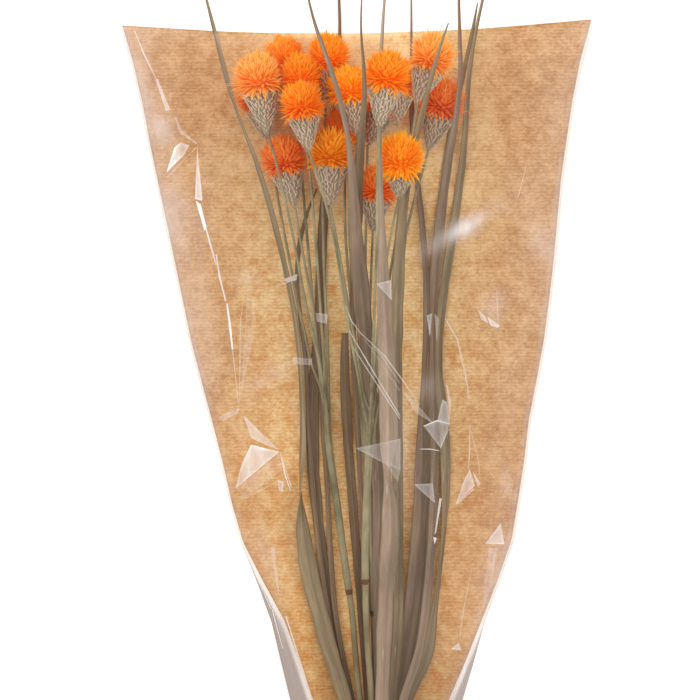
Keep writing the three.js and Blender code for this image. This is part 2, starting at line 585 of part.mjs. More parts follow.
function layHead(head) {
  const flatFoot = new THREE.Vector3(gridX(head.foot[0]), gridY(head.foot[1]), 0);
  const flatBloom = new THREE.Vector3(gridX(head.bloom[0]), gridY(head.bloom[1]), 0);
  head.length = Math.hypot(flatFoot.distanceTo(flatBloom), head.raised ?? 0);
  head.rim = 1 - (RIM_DEPTH * head.size) / head.length; // the mouth's share of that length
  const onStalk = [head.parts, head.parts - 20].map((v) => stalkAt(head.plant, v));
  const start = onStalk.map((p) => [GRID_MIDDLE + p.x / GRID_STEP, gridV(p.y), 0]);
  const via = head.via.map(([u, v]) => [u, v, 0]);
  const stations = stationsOf([...start, ...via, [...head.foot, 0]], 45);
  for (const s of stations) Object.assign(s, { side: BRANCH_RADIUS, deep: BRANCH_RADIUS, round: true });
  layDown(stations, [onStalk[0].z, headNeed(head, flatFoot, flatBloom)], bridge, PARTING);
  const footZ = stations[stations.length - 1].z;
  head.footPoint = new THREE.Vector3(flatFoot.x, flatFoot.y, footZ);
  head.centre = new THREE.Vector3(flatBloom.x, flatBloom.y, footZ + (head.raised ?? 0));
  head.axis = head.centre.clone().sub(head.footPoint).normalize();
  head.bristles = bristlesOf(head);
  pressInto(stations);
  for (let share = 0; share <= head.rim; share += 0.02) {
    const middle = head.footPoint.clone().lerp(head.centre, share);
    pressBall(middle, calyxRadius(share / head.rim) * head.size + 0.9, pile);
  }
  pressBall(head.centre, BRISTLE_RADIUS * head.size + 0.4, bloomPile);
  return stations;
}

function pressBall(middle, reach, into) {
  for (let dx = -reach; dx <= reach; dx += 1) {
    for (let dy = -reach; dy <= reach; dy += 1) {
      const off = Math.hypot(dx, dy);
      if (off > reach) continue;
      into.raise(middle.x + dx, middle.y + dy, middle.z + Math.sqrt(reach * reach - off * off));
    }
  }
}

// The bloom is a ball whose faces are drawn out into bristles. Each bristle stops short of what lies below.
const BRISTLE_FROM = -0.3; // bristles grow where the face looks no further back than this
const BRISTLE_LEAN = 0.15; // how much they lean towards the top of the bloom
const BALL_DETAIL = 3;

function bristlesOf(head) {
  const random = randomFrom(Math.round(head.foot[0] * 7919 + head.foot[1] * 104729));
  const core = CORE_RADIUS * head.size;
  const ball = new THREE.OctahedronGeometry(core, BALL_DETAIL).getAttribute("position");
  const spin = new THREE.Quaternion().setFromAxisAngle(new THREE.Vector3(0, 1, 0), random() * Math.PI);
  const turn = new THREE.Quaternion().setFromUnitVectors(new THREE.Vector3(0, 1, 0), head.axis).multiply(spin);
  const faces = [];
  for (let i = 0; i < ball.count; i += 3) {
    const corners = [0, 1, 2].map((k) => new THREE.Vector3().fromBufferAttribute(ball, i + k).applyQuaternion(turn));
    const out = corners[0].clone().add(corners[1]).add(corners[2]).normalize();
    const face = { corners };
    if (out.dot(head.axis) > BRISTLE_FROM) {
      face.out = out.addScaledVector(head.axis, BRISTLE_LEAN).normalize();
      face.reach = reachOver(head, face, mix(0.9, 1, random()) * BRISTLE_RADIUS * head.size);
    }
    faces.push(face);
  }
  return faces;
}

function reachOver(head, face, most) {
  const least = CORE_RADIUS * head.size;
  for (let reach = most; reach > least; reach -= 0.4) {
    const tip = face.out.clone().multiplyScalar(reach);
    const clear = [0, 0.5].every((share) => face.corners.every((corner) => {
      const point = tip.clone().lerp(corner, share).add(head.centre);
      return point.z > pile.top(point.x, point.y) + GAP;
    }));
    if (clear) return reach;
  }
  return least;
}

// Two blooms that press on each other meet in the plane halfway between them.
function meetingReach(head, out) {
  let reach = Infinity;
  for (const other of HEADS.filter((h) => h !== head)) {
    const towards = other.centre.clone().sub(head.centre);
    const share = head.size / (head.size + other.size);
    const middle = towards.length() * share - GAP / 2;
    const lean = out.dot(towards.normalize());
    if (lean > 0) reach = Math.min(reach, middle / lean);
  }
  return reach;
}

function bloomBall(head) {
  const points = [];
  const least = CORE_RADIUS * head.size * 0.97;
  for (const { corners, out, reach } of head.bristles) {
    const [a, b, c] = corners;
    if (!out) {
      points.push(a, b, c);
      continue;
    }
    const tip = out.clone().multiplyScalar(Math.max(least, Math.min(reach, meetingReach(head, out))));
    points.push(a, b, tip, b, c, tip, c, a, tip);
  }
  const placed = points.map((p) => p.clone().add(head.centre));
  const geometry = new THREE.BufferGeometry().setFromPoints(placed);
  return mergeVertices(geometry, 1e-3);
}

// The calyx is a cup whose rings stand in and out by turns, as its scales do.
const CALYX_SIDES = 12;
const CALYX_RINGS = 7;
const SCALE_RELIEF = 0.07;

function calyxCup(head) {
  const side = new THREE.Vector3().crossVectors(head.axis, new THREE.Vector3(0, 0, 1)).normalize();
  const other = new THREE.Vector3().crossVectors(head.axis, side).normalize();
  const ring = (radius, height, relief, tooth) => Array.from({ length: CALYX_SIDES }, (_, k) => {
    const angle = (k / CALYX_SIDES) * 2 * Math.PI;
    const out = k % 2 ? 1 : -1;
    return head.footPoint.clone()
      .addScaledVector(head.axis, height + tooth * out)
      .addScaledVector(side, Math.cos(angle) * radius * (1 + relief * out) * head.size)
      .addScaledVector(other, Math.sin(angle) * radius * (1 + relief * out) * head.size);
  });
  const rings = [ring(calyxRadius(0), 0, 0, 0)];
  for (let r = 1; r <= CALYX_RINGS; r++) {
    const share = r / CALYX_RINGS;
    const turn = r % 2 ? 1 : -1;
    rings.push(ring(calyxRadius(share), share * head.rim * head.length, SCALE_RELIEF * turn, 0.8 * turn));
  }
  const hollow = (radius) => head.length - GAP - Math.sqrt((CORE_RADIUS + 0.5) ** 2 - radius ** 2) * head.size;
  rings.push(ring(9.2, hollow(9.2), 0, 0), ring(4.5, hollow(4.5), 0, 0));
  return loft(rings);
}

function tube(stations, radius) {
  const sides = 6;
  return loft(stations.map((s) => Array.from({ length: sides }, (_, k) => {
    const angle = (-k / sides) * 2 * Math.PI;
    return new THREE.Vector3(s.x + Math.cos(angle) * radius, s.y, s.z + Math.sin(angle) * radius);
  })));
}

// A plant in one piece: stalk, branches and calyxes.
function plantBody(plant) {
  let body = solidOf(tube(laid.get(plant.name), STALK_RADIUS));
  for (const head of HEADS.filter((h) => h.plant === plant.name)) {
    const sunk = head.footPoint.clone().addScaledVector(head.axis, 4);
    const branch = tube([...laid.get(head.name), sunk], BRANCH_RADIUS);
    body = body.add(solidOf(branch)).add(solidOf(calyxCup(head)));
  }
  return geometryOf(body);
}

// Band: a flat ring round everything at the tie
function bandRing() {
  const y = gridY(TIE_V);
  const floor = SHEET + GAP;
  const held = [...LEAVES, ...PLANTS].flatMap(({ name }) => [-1, 0, 1].map((end) => {
    const stations = laid.get(name);
    const read = (key) => along(stations.map((s) => [s.y, s[key]]), y + (end * BAND_WIDTH) / 2);
    return { x: read("x"), z: read("z"), side: read("side"), deep: read("deep") };
  }));
  const left = Math.min(...held.map((s) => s.x - s.side));
  const right = Math.max(...held.map((s) => s.x + s.side));
  const top = Math.max(...held.map((s) => s.z + s.deep));
  const outline = (grow) => {
    const shape = new THREE.Path();
    const [x0, x1] = [left - 1 - grow, right + 1 + grow];
    const [z0, z1] = [floor + BAND_THICKNESS - grow, top + GAP + grow];
    const corner = 3 + grow;
    shape.moveTo(x0 + corner, z0).lineTo(x1 - corner, z0);
    shape.quadraticCurveTo(x1, z0, x1, z0 + corner).lineTo(x1, z1 - corner);
    shape.quadraticCurveTo(x1, z1, x1 - corner, z1).lineTo(x0 + corner, z1);
    shape.quadraticCurveTo(x0, z1, x0, z1 - corner).lineTo(x0, z0 + corner);
    shape.quadraticCurveTo(x0, z0, x0 + corner, z0);
    return shape.getPoints(3);
  };
  for (let x = left - 3; x <= right + 3; x++) {
    for (let dy = -BAND_WIDTH; dy <= BAND_WIDTH; dy++) pile.raise(x, y + dy, top + GAP + BAND_THICKNESS);
  }
  const shape = new THREE.Shape(outline(BAND_THICKNESS));
  shape.holes.push(new THREE.Path(outline(0)));
  const ring = new THREE.ExtrudeGeometry(shape, { depth: BAND_WIDTH, bevelEnabled: false });
  return ring.rotateX(Math.PI / 2).translate(0, y + BAND_WIDTH / 2, 0);
}

function piece(name, geometry, material) {
  const mesh = new THREE.Mesh(geometry, material);
  mesh.name = name;
  return mesh;
}

// The paper first, and the lower half of the band where the stems are tied
for (let x = -215; x < 215; x++) {
  for (let y = -455; y < 375; y++) {
    const tied = Math.abs(y - gridY(TIE_V)) < BAND_WIDTH / 2 + 2;
    pile.raise(x, y, paperTopAt(x, y) + (tied ? GAP + BAND_THICKNESS : 0));
  }
}

const laid = new Map();
for (const name of ORDER) {
  const is = (item) => item.name === name;
  const [leaf, plant, head] = [LEAVES, PLANTS, HEADS].map((kind) => kind.find(is));
  if (leaf) laid.set(name, layLeaf(leaf));
  if (plant) laid.set(name, layPlant(plant));
  if (head) laid.set(name, layHead(head));
}

const bouquet = new THREE.Group();
for (const leaf of LEAVES) bouquet.add(piece(leaf.name, leafBlade(laid.get(leaf.name)), leaf.material));
for (const plant of PLANTS) bouquet.add(piece(plant.name, plantBody(plant), STEM));
for (const head of HEADS) bouquet.add(piece(head.name, bloomBall(head), head.deep ? DEEP_ORANGE : ORANGE));
bouquet.add(piece("stem_band", bandRing(), RUBBER));
bouquet.add(piece("sleeve_paper", paperSheet(), KRAFT));
bouquet.add(piece("sleeve_film", filmSheet(), FILM));

// The origin is below the middle of the whole object, on the surface that it lies on.
const box = new THREE.Box3().setFromObject(bouquet);
const middle = box.getCenter(new THREE.Vector3());
bouquet.position.set(-middle.x, -middle.y, -box.min.z);

export default bouquet;
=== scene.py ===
# %% [markdown]
# # A dried thistle bouquet in a flower sleeve
# Three branching thistles and a handful of long dry leaves lie in a tapered sleeve.
# Its back is ribbed kraft paper and its front is clear film, sealed along both sides.
# The solids of the construction model are loaded first, as a frame that never moves.
# Every piece below is laid exactly where its solid lies, and takes its place for the eye.

# %% Load the frame
import math
import random

import bmesh
import bpy
import numpy as np
from mathutils import Matrix, Vector, noise
from mathutils.bvhtree import BVHTree


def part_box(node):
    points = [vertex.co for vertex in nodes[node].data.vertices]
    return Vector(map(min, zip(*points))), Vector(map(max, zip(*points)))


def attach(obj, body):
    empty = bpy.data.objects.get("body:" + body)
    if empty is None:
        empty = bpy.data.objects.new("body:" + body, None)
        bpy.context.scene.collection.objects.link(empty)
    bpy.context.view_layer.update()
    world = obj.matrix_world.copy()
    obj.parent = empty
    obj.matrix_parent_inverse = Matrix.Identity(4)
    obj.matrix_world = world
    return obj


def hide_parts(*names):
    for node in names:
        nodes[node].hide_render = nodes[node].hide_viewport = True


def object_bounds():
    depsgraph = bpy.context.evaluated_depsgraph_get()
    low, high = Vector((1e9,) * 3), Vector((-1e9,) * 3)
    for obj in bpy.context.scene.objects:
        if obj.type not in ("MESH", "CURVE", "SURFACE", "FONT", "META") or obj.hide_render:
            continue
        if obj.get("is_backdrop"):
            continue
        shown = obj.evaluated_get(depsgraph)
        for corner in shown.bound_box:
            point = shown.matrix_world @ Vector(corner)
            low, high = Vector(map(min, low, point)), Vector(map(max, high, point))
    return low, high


MM = 0.001
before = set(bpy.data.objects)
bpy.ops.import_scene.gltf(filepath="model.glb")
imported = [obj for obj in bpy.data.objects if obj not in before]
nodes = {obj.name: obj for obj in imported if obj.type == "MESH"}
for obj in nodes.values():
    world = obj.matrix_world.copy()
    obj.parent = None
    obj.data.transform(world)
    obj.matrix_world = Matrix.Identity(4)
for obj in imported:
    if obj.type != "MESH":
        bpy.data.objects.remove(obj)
cad_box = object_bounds()
scene = bpy.context.scene
print("solids:", len(nodes), " box in mm:", [round(c / MM, 1) for corner in cad_box for c in corner])

# %% [markdown]
# ## Camera and light
# The bouquet lies on its back, and the camera looks straight down on it.
# A very long lens keeps the picture almost free of perspective, like a shop's product picture.
# The room is white all round, so that shadows stay soft. Three soft boxes, left, right and beyond
# the flowers, add a little shape. They stand aside, so the flat film doesn't mirror them upwards.

# %% Camera
VIEW_MIDDLE = Vector((-5.2, 48.1, 30.0)) * MM
VIEW_WIDTH = 518 * MM
LENS = 500  # in mm, as is the sensor
SENSOR = 36

camera = bpy.data.objects.new("camera", bpy.data.cameras.new("camera"))
scene.collection.objects.link(camera)
camera.data.lens = LENS
camera.data.sensor_width = SENSOR
camera.location = VIEW_MIDDLE + Vector((0, 0, VIEW_WIDTH * LENS / SENSOR))
camera.data.clip_end = 30
scene.camera = camera
print("camera height in m:", round(camera.location.z, 2))

# %% Light
SURROUND = 0.72  # brightness of the white room round the bouquet


def soft_box(name, side, height, size, power):
    """A rectangular lamp that stands to one side and faces the middle of the bouquet."""
    lamp = bpy.data.objects.new(name, bpy.data.lights.new(name, "AREA"))
    scene.collection.objects.link(lamp)
    lamp.data.shape = "RECTANGLE"
    lamp.data.size, lamp.data.size_y = size
    lamp.data.energy = power
    lamp.location = VIEW_MIDDLE + Vector((*side, height))
    lamp.rotation_euler = (VIEW_MIDDLE - lamp.location).to_track_quat("-Z", "Y").to_euler()


soft_box("lamp_left", (-1.5, 0.5), 1.3, (0.5, 1.0), 9)
soft_box("lamp_right", (1.5, 0.3), 1.3, (0.5, 1.0), 8)
soft_box("lamp_top", (-0.2, 1.6), 1.8, (1.2, 0.6), 9)

world = bpy.data.worlds.new("studio")
scene.world = world
world.use_nodes = True
world.node_tree.nodes["Background"].inputs["Color"].default_value = (1, 1, 1, 1)
world.node_tree.nodes["Background"].inputs["Strength"].default_value = SURROUND
scene.view_settings.view_transform = "Standard"

# %% [markdown]
# ## What the solids tell
# A leaf of the construction model is a chain of flat rings, each at one height along the bouquet.
# Grouping its corners by that height gives back the leaf's middle line, its width and its twist.
# A branching thistle is cut by a row of planes instead: each cut leaves small outlines,
# and following the nearest outline from plane to plane gives back the line of each branch.

# %% Read the leaves
SAME_RING = 0.5 * MM
LEAST_WIDTH = 1.6 * MM  # a narrower ring doesn't tell the way across


def corners_of(name):
    """The corners of a solid, each once."""
    return {tuple(round(c, 7) for c in v.co) for v in nodes[name].data.vertices}


def rings_of(name):
    """The corners of a leaf's solid, ring by ring, from its foot to its tip."""
    corners = sorted(corners_of(name), key=lambda corner: corner[1])
    rings = [[corners[0]]]
    for corner in corners[1:]:
        if corner[1] - rings[-1][0][1] > SAME_RING:
            rings.append([])
        rings[-1].append(corner)
    return [[Vector(corner) for corner in ring] for ring in rings]


def stations_of(name):
    """Middle, width and direction across at each ring of a leaf."""
    stations = []
    before = Vector((1, 0, 0))
    for ring in rings_of(name):
        middle = sum(ring, Vector()) / len(ring)
        sides = sorted((corner - ring[0] for corner in ring[1:]), key=lambda side: side.length)
        across = sides[1] if len(sides) == 3 and sides[1].length > LEAST_WIDTH else before
        across = across.normalized() if across.dot(before) > 0 else -across.normalized()
        stations.append((middle, sides[1].length, across))
        before = across
    return stations


leaf_names = sorted(name for name in nodes if name.startswith("leaf_"))
leaf_lines = {name: stations_of(name) for name in leaf_names}
print("leaves:", len(leaf_lines), " stations on them:", sum(len(line) for line in leaf_lines.values()))

# %% Read the blooms
# These are for a head of size 1, apart from the greatest depth of the low ring.
CORE_RADIUS = 13.2 * MM  # the bloom without its bristles
BRISTLE_RADIUS = 18.4 * MM  # and with them
RIM_DEPTH = 9 * MM  # the calyx's mouth lies this far below the bloom's middle
RIM_REACH = ((15.38, 15.54), (15.84, 16.0))  # its inner and outer corners are this far from there, in mm
LOW_RING = (3.2, 4.8)  # the ring one step above the calyx's foot is this far from its axis, in mm,
LOW_DEPTH = (20, 45)  # and this far below the bloom's middle
CALYX_STEPS = 7  # from its foot to its mouth the calyx rises in this many equal steps
NEAREST_SHARES = (0.5, 0.4, 0.35, 0.3, 0.3, 0.3)  # corners kept for the core, step by step
WELD = 0.002 * MM


def merged(name):
    """A bmesh copy of a solid, with the corners that its triangles share joined."""
    bm = bmesh.new()
    bm.from_mesh(nodes[name].data)
    bmesh.ops.remove_doubles(bm, verts=bm.verts[:], dist=WELD)
    return bm


def ball_through(points):
    """Middle and radius of the ball that points lie on."""
    rows = np.hstack([2 * points, np.ones((len(points), 1))])
    found = np.linalg.lstsq(rows, (points**2).sum(1), rcond=None)[0]
    return found[:3], math.sqrt(found[3] + (found[:3] ** 2).sum())


def core_of(name):
    """Middle and radius of a bloom's core. Its bristles' tips lie outside that ball and are dropped."""
    points = np.array(sorted(corners_of(name)))
    middle = points.mean(0)
    for share in NEAREST_SHARES:
        far = np.linalg.norm(points - middle, axis=1)
        middle, radius = ball_through(points[far <= np.quantile(far, share)])
    on_ball = np.abs(np.linalg.norm(points - middle, axis=1) - radius) < 0.01 * radius
    middle, radius = ball_through(points[on_ball])
    return Vector(middle), radius


def head_of(name):
    """Where a bloom's head is, how large it is, and the plant, axis and foot of its calyx."""
    middle, radius = core_of(name)
    size = radius / CORE_RADIUS
    unit = MM * size
    rims = {}
    for plant, corners in plant_corners.items():
        far = np.linalg.norm(corners - np.array(middle), axis=1) / unit
        on_rim = [(far > nearest) & (far < farthest) for nearest, farthest in RIM_REACH]
        rims[plant] = corners[on_rim[0] | on_rim[1]]
    plant = max(rims, key=lambda p: len(rims[p]))
    axis = (middle - Vector(rims[plant].mean(0))).normalized()
    from_middle = plant_corners[plant] - np.array(middle)
    depth = -from_middle @ np.array(axis)
    off_axis = np.linalg.norm(from_middle + np.outer(depth, axis), axis=1)
    low = (off_axis > LOW_RING[0] * unit) & (off_axis < LOW_RING[1] * unit) & (depth > LOW_DEPTH[0] * unit)
    low_depth = float(np.median(depth[low & (depth < LOW_DEPTH[1] * MM)]))
    length = (CALYX_STEPS * low_depth - RIM_DEPTH * size) / (CALYX_STEPS - 1)
    return {"name": name, "plant": plant, "middle": middle, "size": size, "axis": axis,
            "length": length, "foot": middle - axis * length}


plants = sorted(name for name in nodes if name.startswith("thistle_"))
plant_meshes = {name: merged(name) for name in plants}
plant_corners = {name: np.array([v.co for v in bm.verts]) for name, bm in plant_meshes.items()}
heads = [head_of(name) for name in sorted(nodes) if name.startswith("bloom_")]
heads_on = {plant: [head for head in heads if head["plant"] == plant] for plant in plants}
print("heads on each plant:", {plant: len(own) for plant, own in heads_on.items()},
      " sizes:", [round(head["size"], 2) for head in heads])

# %% Read the stems
CUT_SPACING = 8 * MM
BRANCH_ALONE = (1.5 * MM, 3.4 * MM, 5.5 * MM)  # least and greatest width, and greatest height, of its outline
STALK_ALONE = (4 * MM, 5.6 * MM, 5.6 * MM)
NEAR = 3.5 * MM  # a line strays from straight by less than this from cut to cut
CALYX_CLEAR = 4 * MM  # a branch is read from this far below its calyx


def outlines_at(bm, y):
    """Lowest and highest corner of each outline that the plane at y cuts from a mesh."""
    cut = bm.copy()
    made = bmesh.ops.bisect_plane(cut, geom=cut.verts[:] + cut.edges[:] + cut.faces[:], dist=1e-7,
                                  plane_co=(0, y, 0), plane_no=(0, 1, 0))["geom_cut"]
    cut_edges = {item for item in made if isinstance(item, bmesh.types.BMEdge)}
    outlines = []
    waiting = {vert for edge in cut_edges for vert in edge.verts}
    while waiting:
        group = [waiting.pop()]
        for vert in group:
            for edge in cut_edges.intersection(vert.link_edges):
                other = edge.other_vert(vert)
                if other in waiting:
                    waiting.remove(other)
                    group.append(other)
        points = np.array([vert.co for vert in group])
        outlines.append((Vector(points.min(0)), Vector(points.max(0))))
    cut.free()
    return outlines


def follow(cuts, start, sizes):
    """The middles of the outlines nearest to a line, from cut to cut, until none of them is alone."""
    slimmest, widest, tallest = sizes
    line = [start]
    for y, outlines in cuts:
        guess = line[-1] + (line[-1] - line[-2] if len(line) > 2 else Vector())
        guess.y = y
        alone = [(low + high) / 2 for low, high in outlines
                 if slimmest < high.x - low.x < widest and high.z - low.z < tallest]
        nearest = min(alone, key=lambda middle: (middle - guess).length, default=None)
        if nearest is None or (nearest - guess).length > NEAR * (1 if len(line) > 2 else 2):
            break
        line.append(nearest)
    return line


stalks = {}
for plant, bm in plant_meshes.items():
    low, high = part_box(plant)
    cuts = [(y, outlines_at(bm, y)) for y in np.arange(low.y + 1 * MM, high.y, CUT_SPACING)]
    bm.free()
    foot = min(((low + high) / 2 for low, high in cuts[0][1]), key=lambda middle: middle.z)
    stalks[plant] = follow(cuts[1:], foot, STALK_ALONE)
    for head in heads_on[plant]:
        below = [cut for cut in reversed(cuts) if cut[0] < head["foot"].y - CALYX_CLEAR]
        head["branch"] = follow(below, head["foot"], BRANCH_ALONE)
    print(plant, "stalk ends at y", round(stalks[plant][-1].y / MM), "mm, and its branches part at",
          [round(head["branch"][-1].y / MM) for head in heads_on[plant]])

# %% [markdown]
# ## Finishes
# Each finish starts from the real material: its usual colour, gloss and grain.
# Patterns are drawn by noise and waves in the object's own space, so a size in millimetres
# becomes the scale of a texture by one division. They could be painted as images,
# but nodes stay sharp at any distance and take their scale from the real thing.

# %% Helpers for the finishes
def linear(code):
    """The linear colour of a hex code of sRGB."""
    values = [int(code[i:i + 2], 16) / 255 for i in (1, 3, 5)]
    return (*(v / 12.92 if v <= 0.04045 else ((v + 0.055) / 1.055) ** 2.4 for v in values), 1)


def feed(node, values):
    """Sets sockets or properties of a node. A socket as the value is linked, and a hex code is a colour."""
    for key, value in values.items():
        if isinstance(value, str) and value.startswith("#"):
            value = linear(value)
        if isinstance(value, bpy.types.NodeSocket):
            node.id_data.links.new(value, node.inputs[key])
        elif isinstance(key, int) or key in node.inputs:
            node.inputs[key].default_value = value
        else:
            setattr(node, key, value)


def add(material, kind, values=None, out=0):
    """A new node with its values set, as the socket that comes out of it."""
    node = material.node_tree.nodes.new("ShaderNode" + kind)
    feed(node, values or {})
    return node.outputs[out]


def finish(name, roughness, ior=1.45, **settings):
    """A new material and its shader."""
    material = bpy.data.materials.new(name)
    material.use_nodes = True
    shader = material.node_tree.nodes["Principled BSDF"]
    feed(shader, {"Roughness": roughness, "IOR": ior, **settings})
    return material, shader


COLOUR_A, COLOUR_B, COLOUR_OUT = 6, 7, 2  # sockets of the node that mixes colours
WAVE_TURN = 20 / (2 * math.pi)  # a wave texture draws this many bands over one unit


def per(size):
    """The scale that makes a pattern's features about that size, in mm, on Object coordinates."""
    return 1 / (size * MM)


def maths(material, operation, *values):
    """A sum of numbers and sockets."""
    return add(material, "Math", {"operation": operation, **dict(enumerate(values))})


def grain(material, place, scale, detail, roughness=0.5):
    """Noise at a place, from 0 to 1."""
    return add(material, "TexNoise", {"Vector": place, "Scale": scale, "Detail": detail,
                                      "Roughness": roughness})


def stretched(material, place, scale):
    """A place with each direction scaled by its own factor, so that a pattern is drawn out."""
    return add(material, "Mapping", {"Vector": place, "Scale": scale})


def ranged(material, value, start, end, low=0, high=1):
    """A value between start and end, brought to low and high."""
    return add(material, "MapRange", {"Value": value, "From Min": start, "From Max": end,
                                      "To Min": low, "To Max": high})


def ramp(material, value, *stops):
    """The colour at a value, from stops of a place and a hex code."""
    colour = add(material, "ValToRGB", {"Fac": value})
    elements = colour.node.color_ramp.elements
    for (place, code), element in zip((stops[0], stops[-1]), elements):
        element.position, element.color = place, linear(code)
    for place, code in stops[1:-1]:
        elements.new(place).color = linear(code)
    return colour


def mixed(material, factor, first, second, blend="MIX"):
    """A second colour laid over a first one."""
    return add(material, "Mix", {"data_type": "RGBA", "blend_type": blend, "Factor": factor, COLOUR_A: first,
                                 COLOUR_B: second}, COLOUR_OUT)


def axes_of(material, place):
    """The X, Y and Z of a place or a uv."""
    return add(material, "SeparateXYZ", {"Vector": place}).node.outputs


def painted_shade_low(material, place, colour, tint, start, full):
    """Painted shade: a colour that takes on a darker tint on its way down the bouquet, between two heights.
    """
    low = ranged(material, axes_of(material, place)["Y"], start, full)
    return mixed(material, low, colour, tint, "MULTIPLY")


def relief(material, height, strength):
    """Fine relief that a pattern leaves in the surface."""
    return add(material, "Bump", {"Strength": strength, "Distance": 0.15 * MM, "Height": height})


print("helpers are ready")

# %% [markdown]
# ### Floor
# The bouquet is pictured on a white board that is lit from behind, as for catalogue pictures.
# A glow of its own does that: it keeps the board white right up to the paper's edge.

# %% Floor
FLOOR_WIDTH = 16

floor_paint, _ = finish("backlit_white_board", 0.9, **{
    "Base Color": "#F7F7F6", "Emission Color": "#FFFFFF", "Emission Strength": 0.3})
bm = bmesh.new()
bmesh.ops.create_grid(bm, x_segments=1, y_segments=1, size=FLOOR_WIDTH / 2)
floor_mesh = bpy.data.meshes.new("floor")
bm.to_mesh(floor_mesh)
bm.free()
floor_mesh.materials.append(floor_paint)
floor = bpy.data.objects.new("floor", floor_mesh)
scene.collection.objects.link(floor)
floor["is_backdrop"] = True
print("floor:", FLOOR_WIDTH, "m wide")

# %% [markdown]
# ### Kraft paper
# Ribbed kraft is unbleached paper, smooth on one side and pressed with fine ribs about 2.4 mm apart.
# Light shines a little through it, so its fibres show as warm clouds broken up by the ribs.
# Painted light makes the paper lightest in its middle and on its way up towards the flowers, where its clouds
# take lighter colours, and painted shade darkens it towards its foot.

# %% Kraft paper finish
RIB_PITCH = 2.4
LIT_SIDE, LIT_MIDDLE = 150 * MM, 70 * MM  # the painted light of the middle begins and is full this far from the middle line
LIT_LOW, LIT_HIGH = 60 * MM, 230 * MM  # and gains its last painted light on the way up between these heights
# painted shade: the paper is painted darker towards its foot, between these heights
PAPER_PAINTED_SHADE = (60 * MM, -220 * MM)

kraft, shader = finish("ribbed_kraft_paper", 0.82, **{"Specular IOR Level": 0.25})
place = add(kraft, "TexCoord", out="Object")
ribs = add(kraft, "TexWave", {"Vector": place, "bands_direction": "Y", "Scale": per(RIB_PITCH) / WAVE_TURN,
                              "Distortion": 3, "Detail": 3, "Detail Scale": 2}, "Fac")
dashes = grain(kraft, stretched(kraft, place, (0.75, 1, 1)), per(2.3), 4, 0.85)
clouds = maths(kraft, "SUBTRACT", grain(kraft, place, per(13), 7, 0.74), 0.35)
broken_ribs = maths(kraft, "MULTIPLY", ribs, dashes)
ribbed = maths(kraft, "MULTIPLY_ADD", broken_ribs, 0.18, clouds)
tone = maths(kraft, "MULTIPLY_ADD", dashes, 0.8, ribbed)
across, along, _ = axes_of(kraft, place)
# painted light: the tone is raised on the way up towards the flowers, for the lit colour
painted_light_tone = maths(kraft, "ADD", tone, ranged(kraft, along, LIT_LOW, LIT_HIGH, 0, 0.15))
side_colour = ramp(kraft, tone, (0.42, "#BC8348"), (0.8, "#E8B984"))
painted_lit_colour = ramp(kraft, painted_light_tone, (0.42, "#E4A054"), (0.78, "#FFE4AC"))
off_middle = maths(kraft, "ABSOLUTE", across)
wavering = maths(kraft, "MULTIPLY_ADD", grain(kraft, place, per(120), 2), 0.08, off_middle)
# painted light: the lit colour is painted over the middle, the sides keep the darker colour, and painted
# shade darkens the foot
painted_light_colour = mixed(kraft, ranged(kraft, wavering, LIT_SIDE, LIT_MIDDLE), side_colour, painted_lit_colour)
feed(shader, {"Base Color": painted_shade_low(kraft, place, painted_light_colour, "#F2E1CE", *PAPER_PAINTED_SHADE),
              "Normal": relief(kraft, tone, 0.25)})
print(kraft.name, "ribs", RIB_PITCH, "mm apart")

# %% [markdown]
# ### Dried leaves
# A long dried leaf has straight veins from foot to tip, as many at its narrow tip as at its wide middle.
# So its pattern follows a UV map that counts from edge to edge, and not real millimetres across.
# Drying leaves streaks of two tones between the veins, a darker rim, and a dull wax gloss.

# %% Dried leaf finishes
VEINS = 15  # from edge to edge
STREAK = 0.06  # how fast a pattern changes along a leaf, against 1 across it
RIM_SHARE = 0.09  # the rim takes this share of the width on each side
FOLD = (0.5, 0.56)  # painted shade: the half past the midrib, turned away a little, is painted darker
FOLD_SHADE = 0.5
PAINTED_SHADE_HEIGHTS = (-60 * MM, -180 * MM)  # painted shade: leaves are painted darker towards their feet, between these heights


def dried_leaf(name, dark, middle, light):
    """The finish of one kind of dried leaf, from its three tones."""
    material, shader = finish(name, 0.58, **{"Specular IOR Level": 0.35})
    place, uv = (add(material, "TexCoord", out=kind) for kind in ("Object", "UV"))
    drawn = stretched(material, uv, (1, STREAK, 1))
    veins = grain(material, drawn, VEINS, 3, 0.7)
    streaked = maths(material, "MULTIPLY_ADD", veins, 0.55, grain(material, drawn, 3.2, 2))
    tone = maths(material, "MULTIPLY_ADD", grain(material, place, per(45), 3), 0.5, streaked)
    colour = ramp(material, ranged(material, tone, 0.6, 1.45), (0, middle), (0.72, dark), (1, light))
    across = axes_of(material, uv)["X"]
    rim = ranged(material, maths(material, "PINGPONG", across, 0.5), 0, RIM_SHARE, 0.65, 0)
    edged = mixed(material, rim, colour, dark)
    # painted shade: the half past the midrib, and further down the leaf towards its foot, are painted darker
    folded = mixed(material, ranged(material, across, *FOLD, 0, FOLD_SHADE), edged, "#C8C4BC", "MULTIPLY")
    feed(shader, {"Base Color": painted_shade_low(material, place, folded, "#EEEBE9", *PAINTED_SHADE_HEIGHTS),
                  "Normal": relief(material, veins, 0.35)})
    return material


